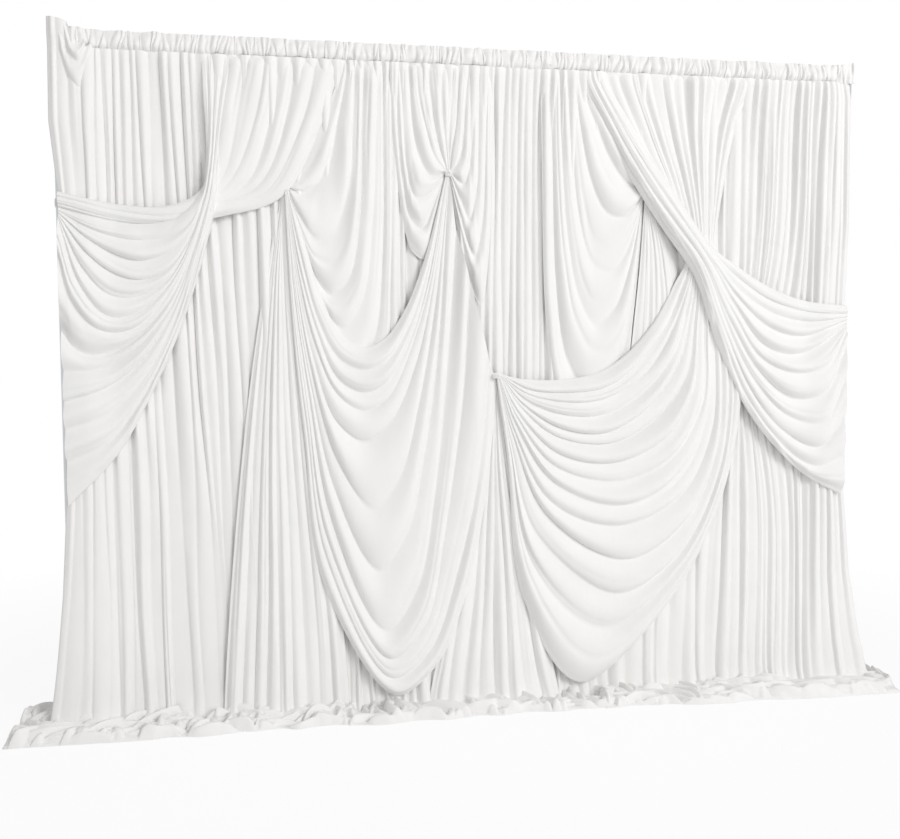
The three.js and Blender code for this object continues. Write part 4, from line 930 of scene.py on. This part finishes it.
# %% Centre fan, right cowl and right fan
centre_fan_first_shares = [(0.004, 0.38), (-0.034, 0.27), (-0.075, 0.14), (-0.12, 0.006)]
centre_fan_last_shares = [(0.08, 0.38), (0.12, 0.27), (0.165, 0.14), (0.21, 0.006)]
centre_fan_shares = fan_from(centre_fan_first_shares, centre_fan_last_shares, 8, swag_gather_shares,
                             (215, 305))
dressed("centre_fan_cloth", "centre_fan", centre_fan_shares, 35, (0.5, 1.25), 0.52, "hung", ["bow_cloth"],
        fine=14, cap=0.028)

right_cowl_shares = [
    [*from_bar(0.274), (0.318, 0.925), (0.362, 0.88), (0.4, 0.838), (0.422, 0.812)],
    [*from_bar(0.262), (0.295, 0.905), (0.333, 0.855), (0.375, 0.815), (0.41, 0.803)],
    [*from_bar(0.245), (0.26, 0.89), (0.29, 0.815), (0.335, 0.768), (0.378, 0.76), (0.412, 0.777)],
    [*from_bar(0.226), (0.237, 0.88), (0.26, 0.77), (0.3, 0.695), (0.345, 0.68), (0.386, 0.707),
     (0.415, 0.757)],
    [*from_bar(0.205), (0.211, 0.86), (0.229, 0.72), (0.262, 0.62), (0.305, 0.58), (0.352, 0.602),
     (0.394, 0.675)],
    [*from_bar(0.185), (0.189, 0.84), (0.204, 0.66), (0.24, 0.54), (0.3, 0.495), (0.362, 0.53),
     (0.405, 0.63)],
    [*from_bar(0.163), (0.166, 0.82), (0.178, 0.6), (0.215, 0.475), (0.3, 0.43), (0.375, 0.475),
     (0.41, 0.61)],
]
dressed("right_cowl_cloth", "right_cowl", end_on_arc(right_cowl_shares, right_gather_shares, (175, 250)),
        36, (0.5, 1.2), 0.46, "gathered", ["crossbar_outer_tube"],
        skew=1.15, droop=0.15, fine=20, cap=0.021, start=0.05, sink=(0.012, 0.016), **cowl_edges)

right_fan_first_shares = [(0.428, 0.7), (0.416, 0.6), (0.4, 0.5)]
right_fan_last_shares = [(0.488, 0.71), (0.512, 0.62), (0.525, 0.52)]
right_fan_shares = fan_from(right_fan_first_shares, right_fan_last_shares, 6, right_gather_shares,
                            (262, 330))
dressed("right_fan_cloth", "right_fan", right_fan_shares, 37, (0.25, 0.7), 0.165, "hung",
        ["right_cowl_cloth"], rows=90, fine=10, cap=0.016)

# %% [markdown]
# ## The great right-hand swag
#
# The widest drape of all. It starts in the middle gather, sags almost to the floor, and is
# swept up to the crossing, behind the rope, and on to the bar.

# %% Right swag
right_swag_shares = [
    [(0.12, 0.503), (0.22, 0.502), (0.31, 0.512), (0.39, 0.542), (0.46, 0.59), (0.515, 0.648)],
    [(0.125, 0.493), (0.22, 0.488), (0.32, 0.496), (0.41, 0.528), (0.475, 0.578), (0.525, 0.64)],
    [(0.125, 0.484), (0.22, 0.472), (0.33, 0.477), (0.43, 0.512), (0.492, 0.565), (0.535, 0.63)],
    [(0.12, 0.476), (0.21, 0.455), (0.33, 0.453), (0.44, 0.49), (0.508, 0.549), (0.546, 0.62)],
    [(0.115, 0.468), (0.205, 0.436), (0.34, 0.428), (0.455, 0.468), (0.525, 0.532), (0.557, 0.61)],
    [(0.11, 0.46), (0.2, 0.415), (0.35, 0.403), (0.47, 0.443), (0.545, 0.513), (0.568, 0.6)],
    [(0.105, 0.452), (0.2, 0.394), (0.36, 0.376), (0.49, 0.416), (0.565, 0.492), (0.581, 0.59)],
    [(0.1, 0.445), (0.195, 0.372), (0.365, 0.347), (0.505, 0.388), (0.585, 0.47), (0.595, 0.58)],
    [(0.095, 0.437), (0.19, 0.35), (0.37, 0.316), (0.52, 0.356), (0.605, 0.448), (0.61, 0.57)],
    [(0.09, 0.43), (0.185, 0.325), (0.38, 0.278), (0.54, 0.32), (0.62, 0.423), (0.625, 0.56)],
    [(0.087, 0.42), (0.172, 0.305), (0.39, 0.235), (0.555, 0.29), (0.633, 0.4), (0.641, 0.55)],
    [(0.083, 0.41), (0.155, 0.27), (0.365, 0.178), (0.545, 0.245), (0.641, 0.37), (0.66, 0.535)],
    [(0.08, 0.4), (0.14, 0.225), (0.33, 0.107), (0.53, 0.2), (0.647, 0.345), (0.68, 0.52)],
    [(0.075, 0.39), (0.122, 0.17), (0.27, 0.032), (0.5, 0.145), (0.645, 0.31), (0.698, 0.505)],
]
swag_rise_first_shares = [(0.549, 0.702), (0.485, 0.79), (0.4, 0.88), (0.335, 0.962), (0.335, 0.9735)]
swag_rise_last_shares = [(0.625, 0.672), (0.638, 0.8), (0.668, 0.9), (0.705, 0.962), (0.705, 0.9735)]


def right_swag_creases():
    creases = []
    for k, line in enumerate(right_swag_shares):
        share = k / (len(right_swag_shares) - 1)
        rise = blend_lines(swag_rise_first_shares, swag_rise_last_shares, share)
        creases.append([on_arc(swag_gather_shares, (50, -75), share), *line, *rise])
    return creases


dressed("right_swag_cloth", "right_swag", right_swag_creases(),
        38, (1.3, 2.6), 1.9, "gathered", ["crossbar_outer_tube", "bow_cloth"],
        stops=[(0, 1), (0.5, 1), (0.64, 0.4), (0.84, 0), (1, 0)], rows=230, waist=(6, 0.625),
        fine=18, cap=0.03, **swag_folds)

# %% [markdown]
# ## The crossings
#
# At both sides two drapes cross like scarves. On the left one sweeps in from the middle as a flat
# belt and goes behind, the other drops straight from the bar and fans out in front of it. On the
# right a smooth rope of cloth runs down from the bar, over the swag, and opens out to the upright.
# Each is arched over its whole width where it is drawn together, and its lower edge is ruched.

# %% Left belt and crossed drapes
left_belt_shares = [
    [*from_bar(-0.602), (-0.624, 0.89), (-0.642, 0.812), (-0.668, 0.776), (-0.75, 0.756), (-0.87, 0.758),
     (-0.988, 0.772)],
    [*from_bar(-0.56), (-0.578, 0.89), (-0.612, 0.808), (-0.657, 0.77), (-0.75, 0.752), (-0.87, 0.754),
     (-0.988, 0.769)],
    [*from_bar(-0.517), (-0.535, 0.89), (-0.59, 0.802), (-0.65, 0.766), (-0.75, 0.748), (-0.87, 0.75),
     (-0.988, 0.766)],
    [*from_bar(-0.485), (-0.502, 0.89), (-0.56, 0.796), (-0.645, 0.762), (-0.75, 0.744), (-0.87, 0.747),
     (-0.988, 0.763)],
    [*from_bar(-0.445), (-0.466, 0.89), (-0.535, 0.79), (-0.638, 0.758), (-0.75, 0.7405), (-0.87, 0.7435),
     (-0.988, 0.76)],
    [*from_bar(-0.4), (-0.43, 0.88), (-0.51, 0.785), (-0.632, 0.753), (-0.75, 0.737), (-0.87, 0.74),
     (-0.988, 0.757)],
    [*from_bar(-0.35), (-0.393, 0.88), (-0.485, 0.778), (-0.625, 0.747), (-0.75, 0.7335), (-0.87, 0.7365),
     (-0.988, 0.754)],
]
dressed("left_belt_cloth", "left_belt_drape", left_belt_shares,
        39, (0.3, 1.5), 0.4, "gathered", ["crossbar_outer_tube"],
        stops=[(0, 0), (0.04, 0), (0.4, 0.45), (0.56, 0.55), (0.72, 0.65), (1, 0.75)],
        rows=170, waist=(4, 0.5), fine=14, cap=0.018, start=0.03, broad=2,
        crown=[(0, 0), (0.4, 0), (0.55, 0.012), (0.9, 0.01), (1, 0.006)],
        relief=[(0, 1), (0.25, 0.7), (0.45, 0), (1, 0)])

left_cross_first_shares = [*from_bar(-0.654), (-0.651, 0.88), (-0.653, 0.81), (-0.664, 0.775)]
left_cross_last_shares = [*from_bar(-0.592), (-0.616, 0.88), (-0.63, 0.81), (-0.638, 0.765)]
left_cross_tail_shares = [
    [(-0.69, 0.752), (-0.74, 0.733), (-0.81, 0.727), (-0.88, 0.732), (-0.94, 0.741), (-0.988, 0.75)],
    [(-0.69, 0.738), (-0.74, 0.716), (-0.81, 0.708), (-0.88, 0.715), (-0.93, 0.727), (-0.988, 0.747)],
    [(-0.692, 0.725), (-0.74, 0.695), (-0.81, 0.682), (-0.87, 0.69), (-0.93, 0.71), (-0.988, 0.744)],
    [(-0.693, 0.714), (-0.745, 0.67), (-0.81, 0.652), (-0.87, 0.66), (-0.93, 0.69), (-0.988, 0.741)],
    [(-0.694, 0.706), (-0.75, 0.652), (-0.82, 0.628), (-0.88, 0.632), (-0.94, 0.67), (-0.989, 0.738)],
    [(-0.694, 0.7), (-0.755, 0.637), (-0.825, 0.603), (-0.885, 0.6), (-0.945, 0.645), (-0.99, 0.735)],
    [(-0.694, 0.694), (-0.755, 0.627), (-0.83, 0.582), (-0.9, 0.58), (-0.96, 0.62), (-0.991, 0.69)],
    [(-0.693, 0.689), (-0.75, 0.619), (-0.825, 0.568), (-0.9, 0.543), (-0.955, 0.553), (-0.99, 0.59)],
    [(-0.692, 0.684), (-0.745, 0.611), (-0.82, 0.555), (-0.9, 0.527), (-0.985, 0.525)],
    [(-0.69, 0.68), (-0.74, 0.603), (-0.81, 0.538), (-0.89, 0.5), (-0.985, 0.482)],
    [(-0.687, 0.676), (-0.735, 0.594), (-0.81, 0.512), (-0.89, 0.463), (-0.985, 0.443)],
    [(-0.682, 0.674), (-0.728, 0.588), (-0.81, 0.483), (-0.89, 0.42), (-0.985, 0.393)],
    [(-0.672, 0.68), (-0.713, 0.6), (-0.78, 0.505), (-0.87, 0.407), (-0.985, 0.335)],
]


def crossed(first, last, tails):
    """Folds that run side by side from the bar to the crossing, and on as their own tails."""
    return [[*blend_lines(first, last, k / (len(tails) - 1)), *tail] for k, tail in enumerate(tails)]


dressed("left_crossed_cloth", "left_crossed_drape",
        crossed(left_cross_first_shares, left_cross_last_shares, left_cross_tail_shares),
        40, (0.6, 1.8), 0.6, "gathered", ["left_belt_cloth", "crossbar_outer_tube"],
        stops=[(0, 0), (0.03, 0), (0.2, 0.25), (0.36, 1.4), (0.44, 1.55), (0.7, 1.05), (1, 0.62)],
        rows=200, waist=(4, 0.375), fine=16, start=0.03, tuck_back=0.032, pucker=0.004,
        crown=[(0, 0), (0.2, 0.006), (0.34, 0.012), (0.5, 0)],
        relief=[(0, 0.5), (0.08, 0), (0.42, 0), (0.55, 0.5), (0.7, 1)], **crossing_folds)

# %% Right crossed drape
right_cross_first_shares = [*from_bar(0.322), (0.39, 0.89), (0.46, 0.825), (0.533, 0.764), (0.598, 0.712)]
right_cross_last_shares = [*from_bar(0.266), (0.338, 0.88), (0.42, 0.795), (0.497, 0.73), (0.567, 0.67)]
right_cross_tail_shares = [
    [(0.68, 0.676), (0.78, 0.643), (0.88, 0.624), (0.988, 0.617)],
    [(0.68, 0.663), (0.78, 0.628), (0.88, 0.612), (0.988, 0.61)],
    [(0.68, 0.648), (0.78, 0.609), (0.88, 0.597), (0.988, 0.604)],
    [(0.675, 0.636), (0.77, 0.588), (0.87, 0.577), (0.988, 0.598)],
    [(0.67, 0.623), (0.76, 0.563), (0.86, 0.548), (0.988, 0.592)],
    [(0.66, 0.612), (0.75, 0.54), (0.85, 0.513), (0.935, 0.53), (0.988, 0.585)],
    [(0.653, 0.602), (0.74, 0.521), (0.84, 0.478), (0.93, 0.488), (0.989, 0.57)],
    [(0.646, 0.594), (0.73, 0.505), (0.83, 0.447), (0.93, 0.44), (0.989, 0.51)],
    [(0.639, 0.588), (0.72, 0.493), (0.82, 0.422), (0.92, 0.395), (0.988, 0.44)],
    [(0.63, 0.583), (0.71, 0.482), (0.81, 0.405), (0.91, 0.365), (0.985, 0.377)],
    [(0.612, 0.597), (0.66, 0.527), (0.72, 0.46), (0.8, 0.4), (0.89, 0.352), (0.985, 0.322)],
]
dressed("right_crossed_cloth", "right_crossed_drape",
        crossed(right_cross_first_shares, right_cross_last_shares, right_cross_tail_shares),
        41, (0.7, 2.2), 0.8, "gathered", ["right_swag_cloth", "crossbar_outer_tube"],
        stops=[(0, 0), (0.03, 0), (0.26, 1.3), (0.375, 1.6), (0.5, 1.6), (0.72, 1), (1, 0.62)],
        rows=220, waist=(5, 0.375), fine=15, tuck_back=0.03, pucker=0.009,
        crown=[(0, 0.004), (0.06, 0.018), (0.34, 0.024), (0.52, 0)],
        relief=[(0, 0.2), (0.05, 0), (0.42, 0), (0.55, 0.5), (0.7, 1)], **crossing_folds)

# %% [markdown]
# ## Cloth on the floor
#
# The drapes are longer than the frame is high, and the rest lies on the floor as a crumpled hem.
# A long sheet lies flat there and short curved rolls of cloth lie over each other on it, in all
# directions. Its outer edge wanders a little, so it looks let out by hand and not cut.


# %% Hems
hem_step, hem_rows = 0.004, 56
# Heights: of the very edge, of the sheet that lies behind it, and more where a base plate is under it
edge_height, hem_loft, plate_loft = 0.0018, 0.007, 0.006
plate_ramp_start, plate_ramp_length = 1.12, 0.05
# One short roll for each such area, in square metres
roll_area = 0.0019
# The outer edge wanders in and out, and keeps on the whole a little inside its line
edge_wander, edge_inset, edge_frill = 0.026, 0.006, 0.004


def round_corner(points, radius, step=hem_step):
    """A path with even steps whose corners are rounded off."""
    path = evenly(np.array(points, float), 400)
    reach = max(1, round(radius / np.linalg.norm(path[1] - path[0])))
    kernel = np.hanning(2 * reach + 3)[1:-1]
    padded = np.vstack([path[:1]] * reach + [path] + [path[-1:]] * reach)
    soft = np.stack([np.convolve(padded[:, i], kernel / kernel.sum(), "valid") for i in (0, 1)], 1)
    length = np.linalg.norm(np.diff(soft, axis=0), axis=1).sum()
    return evenly(soft, round(length / step))


def lying_rolls(rng, along, v, length, reach):
    """Heights of short curved rolls, about one for each roll_area, of which the highest counts."""
    heights = np.zeros((len(along), v.shape[1]))
    for _ in range(round(length * reach / roll_area)):
        middle, place = rng.uniform(0, length), rng.uniform(0.0, 1.0)
        angle, long, short = rng.uniform(-0.5, 2.0), rng.uniform(0.05, 0.12), rng.uniform(0.01, 0.02)
        bend = rng.uniform(-7, 7)
        du, dv = along - middle, (v - place) * reach
        way = du * math.cos(angle) + dv * math.sin(angle)
        side = dv * math.cos(angle) - du * math.sin(angle) + bend * way**2
        roll = np.clip(1 - (way / long) ** 2 - (side / short) ** 2, 0, 1) ** 0.6
        heights = np.maximum(heights, roll * rng.uniform(1.1, 2.8) * short)
    return heights


def floor_hem(name, node, foot, outer, seed, flat, area):
    """Cloth let out on the floor between a foot line and an outer line, both [x, depth]."""
    rng = np.random.default_rng(seed)
    outer = round_corner(outer, 0.02)
    columns = len(outer)
    foot = evenly(round_corner(foot, 0.03), columns)
    length = columns * hem_step
    v = np.linspace(0, 1, hem_rows)[None, :]
    along = np.arange(columns)[:, None] * hem_step
    out = outer - foot
    reach = np.linalg.norm(out, axis=1, keepdims=True)
    out = out / reach
    crests = lying_rolls(rng, along, v, length, reach.mean())
    crests += 0.0025 * rumple(rng, columns, hem_rows, round(length / 0.025), 8)
    plate = np.clip((np.abs(outer[:, :1]) - plate_ramp_start) / plate_ramp_length, 0, 1)
    edge = (edge_wander * rumple(rng, columns, 1, round(length / 0.07), 1) - edge_inset) * (1 - plate)
    edge += np.clip(edge_frill * rumple(rng, columns, 1, round(length / 0.03), 1), -0.006, 0.004)
    roll = np.clip((1 - v) / 0.09, 0, 1) ** 0.5
    end = np.minimum(along, along[::-1])
    roll = roll * np.clip(end / 0.02, 0, 1) ** 0.5
    height = edge_height + (hem_loft + crests + plate_loft * plate) * roll
    span = (reach + edge) * v**0.92
    x = foot[:, :1] + out[:, :1] * span
    depth = foot[:, 1:] + out[:, 1:] * span
    piece = cloth_mesh(name, np.stack([x, -depth, height], 2))
    if piece.data.polygons[len(piece.data.polygons) // 2].normal.z < 0:
        piece.data.flip_normals()
    hang(piece, [node], flat, area)


left_foot = [(-1.5, -0.165), (-1.5, 0.02), (-0.46, 0.02)]
left_outer = [(-1.66, -0.175), (-1.665, 0.184), (-1.25, 0.184), (-0.46, 0.168)]
centre_foot = [(-0.5, 0.02), (0.5, 0.02)]
centre_outer = [(-0.5, 0.166), (-0.2, 0.176), (0.1, 0.166), (0.5, 0.168)]
right_foot = [(0.46, 0.02), (1.53, 0.02), (1.53, -0.165)]
right_outer = [(0.46, 0.17), (1.25, 0.184), (1.665, 0.184), (1.66, -0.175)]
floor_hem("left_floor_hem", "left_hem", left_foot, left_outer, 51, (1.6, 0.3), 0.36)
floor_hem("centre_floor_hem", "centre_hem", centre_foot, centre_outer, 52, (1.2, 0.2), 0.24)
floor_hem("right_floor_hem", "right_hem", right_foot, right_outer, 53, (1.6, 0.3), 0.36)

# %% [markdown]
# ## Knots and ties
#
# Where all the folds of a gather meet, the cloth is pulled through an elastic band and stands out
# as a small puckered knot. A knot is a shallow dome with a dimple in the middle and waves round
# it, on a short stem. The panels are tied to the uprights with a ring of the same knit.


# %% Knots and ties
def tie_ring(name, node, place, radii, width, seed, body):
    """A gathered ring round a vertical axis."""
    rng = np.random.default_rng(seed)
    turns, across = 96, 20
    angle = np.linspace(0, 2 * math.pi, turns + 1)[:, None]
    v = np.linspace(-1, 1, across)[None, :]
    crown = np.sqrt(np.clip(1 - v**2, 0, 1))
    wrinkle = 0.0011 * np.sin(angle * 17 + 1.7 * np.sin(angle * 3)) * crown
    noise = rumple(rng, turns + 1, across, 14, 4) * 0.0007
    noise[-1] = noise[0]
    grown = 0.0035 * crown + wrinkle + noise
    x = place[0] + (radii[0] + grown) * np.cos(angle)
    y = place[1] + (radii[1] + grown) * np.sin(angle)
    z = place[2] + width / 2 * v + 0 * angle
    piece = cloth_mesh(name, np.stack([x, y, z], 2))
    hang(piece, [node], (2.2 * math.pi * max(radii), width), body=body)


def knot(name, node, gather, depth, radius, height, stem, seed):
    """A puckered knot of cloth that faces forward, with its middle at a gather."""
    rng = np.random.default_rng(seed)
    turns, rings = 90, 24
    angle = np.linspace(0, 2 * math.pi, turns + 1)[:, None]
    v = np.linspace(0.02, 1.4, rings)[None, :]
    face = np.clip(v, 0, 1)
    pucker = 0.3 * np.sin(9 * angle + 1.3 * np.sin(2 * angle)) * np.sin(math.pi * face)
    noise = 0.05 * rumple(rng, turns + 1, rings, 12, 4)
    noise[-1] = noise[0]
    dimple = 0.3 * height * np.exp(-((v / 0.2) ** 2))
    dome = height * np.sqrt(1 - face**2) * (1 + pucker + noise) - dimple
    reach = radius * (face + 0.08 * face * np.sin(5 * angle + 0.7))
    x = gather[0] * half_width + 1.1 * reach * np.cos(angle)
    z = gather[1] * drape_top + 0.95 * reach * np.sin(angle)
    y = -depth - dome + stem * (v - face) / 0.4
    piece = cloth_mesh(name, np.stack([x, y, z], 2))
    hang(piece, [node], (4.0 * radius, 3.0 * radius + 0.7 * stem))


knot("bow_knot", "bow_band", bow_gather_shares, 0.033, 0.0125, 0.006, 0.012, 61)
knot("swag_knot", "swag_band", swag_gather_shares, 0.052, 0.012, 0.005, 0.03, 63)
tie_inset = 0.003
for side in ("left", "right"):
    low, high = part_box(f"{side}_post_tie")
    size = high - low
    radii = (size.x / 2 - tie_inset, size.y / 2 - tie_inset)
    tie_ring(f"{side}_tie_knit", f"{side}_post_tie", (low + high) / 2, radii, size.z, 62,
             f"{side}_stand")

# %% [markdown]
# ## Metal and plastic
#
# The uprights and the bar are anodised aluminium tube: drawn along their length, so the finish has
# a faint streak that way. The base plates are steel plate with a black powder coat, which has a
# fine orange peel. Pins, hooks, rivets and buttons are zinc-plated, slightly bluish and cloudy.


# %% Finishes for the frame
def set_surface(tree, shader, cloud, colours, roughness, grain, strength, depth):
    """Colour and roughness that follow one pattern, and a bump that follows another."""
    dark, light = colours
    mixed = add_node(tree, "ShaderNodeMix", {"Factor": cloud, 6: linear(dark), 7: linear(light)},
                     data_type="RGBA")
    tree.links.new(mixed.outputs[2], shader.inputs["Base Color"])
    low, high = roughness
    rough = add_node(tree, "ShaderNodeMapRange", {"Value": cloud, "To Min": low, "To Max": high})
    tree.links.new(rough.outputs["Result"], shader.inputs["Roughness"])
    bump = add_node(tree, "ShaderNodeBump", {"Height": grain, "Strength": strength, "Distance": depth})
    tree.links.new(bump.outputs["Normal"], shader.inputs["Normal"])


def noise_pattern(tree, place, scale, detail):
    made = add_node(tree, "ShaderNodeTexNoise", {"Vector": place, "Scale": scale, "Detail": detail})
    return made.outputs["Fac"]


def metal(name, colours, roughness, stretch, scale):
    finish, tree, shader = new_finish(name)
    place = add_node(tree, "ShaderNodeTexCoord").outputs["Object"]
    drawn = add_node(tree, "ShaderNodeMapping", {"Vector": place, "Scale": stretch}).outputs["Vector"]
    cloud = noise_pattern(tree, drawn, scale, 4.0)
    set_surface(tree, shader, cloud, colours, roughness, cloud, 0.05, 0.0004)
    shader.inputs["Metallic"].default_value = 1.0
    return finish


def dielectric(name, colours, roughness, scale, depth):
    finish, tree, shader = new_finish(name)
    place = add_node(tree, "ShaderNodeTexCoord").outputs["Object"]
    grain = noise_pattern(tree, place, scale, 2.0)
    dust = noise_pattern(tree, place, 14.0, 5.0)
    set_surface(tree, shader, dust, colours, roughness, grain, 0.2, depth)
    shader.inputs["IOR"].default_value = 1.5
    return finish


# A metal's streaks run along its short scale: 1 / (260 * 0.04) is about 10 cm, across it 4 mm
tube_colours, tube_roughness, tube_scale = ("#BFC3C7", "#CDD0D3"), (0.28, 0.42), 260.0
aluminium = metal("anodised_aluminium", tube_colours, tube_roughness, (1.0, 1.0, 0.04), tube_scale)
bar_aluminium = metal("anodised_aluminium_bar", tube_colours, tube_roughness, (0.04, 1.0, 1.0), tube_scale)
zinc = metal("zinc_plated_steel", ("#A9AEB4", "#C2C6CA"), (0.25, 0.45), (1.0, 1.0, 1.0), 90.0)
powder = dielectric("powder_coated_steel", ("#1B1C1E", "#26272A"), (0.42, 0.58), 420.0, 0.0004)
plastic = dielectric("moulded_plastic", ("#202124", "#2A2B2E"), (0.4, 0.55), 700.0, 0.0002)
finishes = {"tube_aluminium": aluminium, "zinc_steel": zinc, "base_paint": powder, "black_plastic": plastic,
            "white_knit": knit}
for subpart in frame["record"]["subparts"]:
    node_name = subpart["node"]
    finish = finishes[subpart["material_slot"]]
    if node_name.startswith("crossbar") and finish is aluminium:
        finish = bar_aluminium
    mesh = nodes[node_name].data
    mesh.materials.clear()
    mesh.materials.append(finish)

# %% [markdown]
# ## Floor, light and background
#
# A white room: the sky lights everything evenly, a large soft lamp at the front right gives the
# folds their shade, and what the camera sees behind the object is plain white. The floor is white
# too, and keeps the soft shadow of the cloth close to it.


# %% Floor, lamp and world
def seen_directly(tree):
    """1 for rays that show the room itself, straight or in the metal, and 0 for those that light."""
    path = add_node(tree, "ShaderNodeLightPath").outputs
    kinds = {0: path["Is Camera Ray"], 1: path["Is Glossy Ray"]}
    seen = add_node(tree, "ShaderNodeMath", kinds, operation="MAXIMUM").outputs[0]
    kinds = {0: seen, 1: path["Is Transmission Ray"]}
    return add_node(tree, "ShaderNodeMath", kinds, operation="MAXIMUM").outputs[0]


def mix_shaders(tree, share, first, second):
    return add_node(tree, "ShaderNodeMixShader", {0: share, 1: first, 2: second}).outputs[0]


floor_half, fade_start, fade_end = 30, 1.9, 3.4
corners = [(-floor_half, -floor_half, 0), (floor_half, -floor_half, 0),
           (floor_half, floor_half, 0), (-floor_half, floor_half, 0)]
ground = bpy.data.meshes.new("floor")
ground.from_pydata(corners, [], [(0, 1, 2, 3)])
floor = bpy.data.objects.new("floor", ground)
bpy.context.scene.collection.objects.link(floor)

# Away from the object the floor fades into the plain white of the background
paper = bpy.data.materials.new("white_floor")
paper.use_nodes = True
tree = paper.node_tree
tree.nodes.clear()
where = add_node(tree, "ShaderNodeTexCoord").outputs["Object"]
distance = add_node(tree, "ShaderNodeVectorMath", {0: where}, operation="LENGTH").outputs["Value"]
fade = {"Value": distance, "From Min": fade_start, "From Max": fade_end, "To Min": 0.9}
far = add_node(tree, "ShaderNodeMapRange", fade).outputs["Result"]
share = add_node(tree, "ShaderNodeMath", {0: seen_directly(tree), 1: far}, operation="MULTIPLY").outputs[0]
matt = add_node(tree, "ShaderNodeBsdfDiffuse", {"Color": linear("#F4F4F4")}).outputs[0]
white = add_node(tree, "ShaderNodeEmission", {"Color": (1, 1, 1, 1), "Strength": 1.0}).outputs[0]
add_node(tree, "ShaderNodeOutputMaterial", {"Surface": mix_shaders(tree, share, matt, white)})
ground.materials.append(paper)

world = bpy.data.worlds.new("white_room")
bpy.context.scene.world = world
world.use_nodes = True
tree = world.node_tree
tree.nodes.clear()
seen = seen_directly(tree)
room = add_node(tree, "ShaderNodeBackground", {"Color": (1, 1, 1, 1), "Strength": 0.5}).outputs[0]
backdrop = add_node(tree, "ShaderNodeBackground", {"Color": (1, 1, 1, 1), "Strength": 1.0}).outputs[0]
add_node(tree, "ShaderNodeOutputWorld", {"Surface": mix_shaders(tree, seen, room, backdrop)})

key_data = bpy.data.lights.new("key", "AREA")
key_data.size = 6.0
key_data.energy = 1035
key = bpy.data.objects.new("key", key_data)
key.location = (7.3, -11.5, 7.5)
aim = np.array([0.2, 0.0, 1.1]) - np.array(key.location)
key.rotation_euler = (math.acos(-aim[2] / np.linalg.norm(aim)), 0, math.atan2(aim[1], aim[0]) - math.pi / 2)
bpy.context.scene.collection.objects.link(key)
bpy.context.scene.view_settings.view_transform = "Standard"
print("lamp at", tuple(round(v, 2) for v in key.location), "W:", key_data.energy)
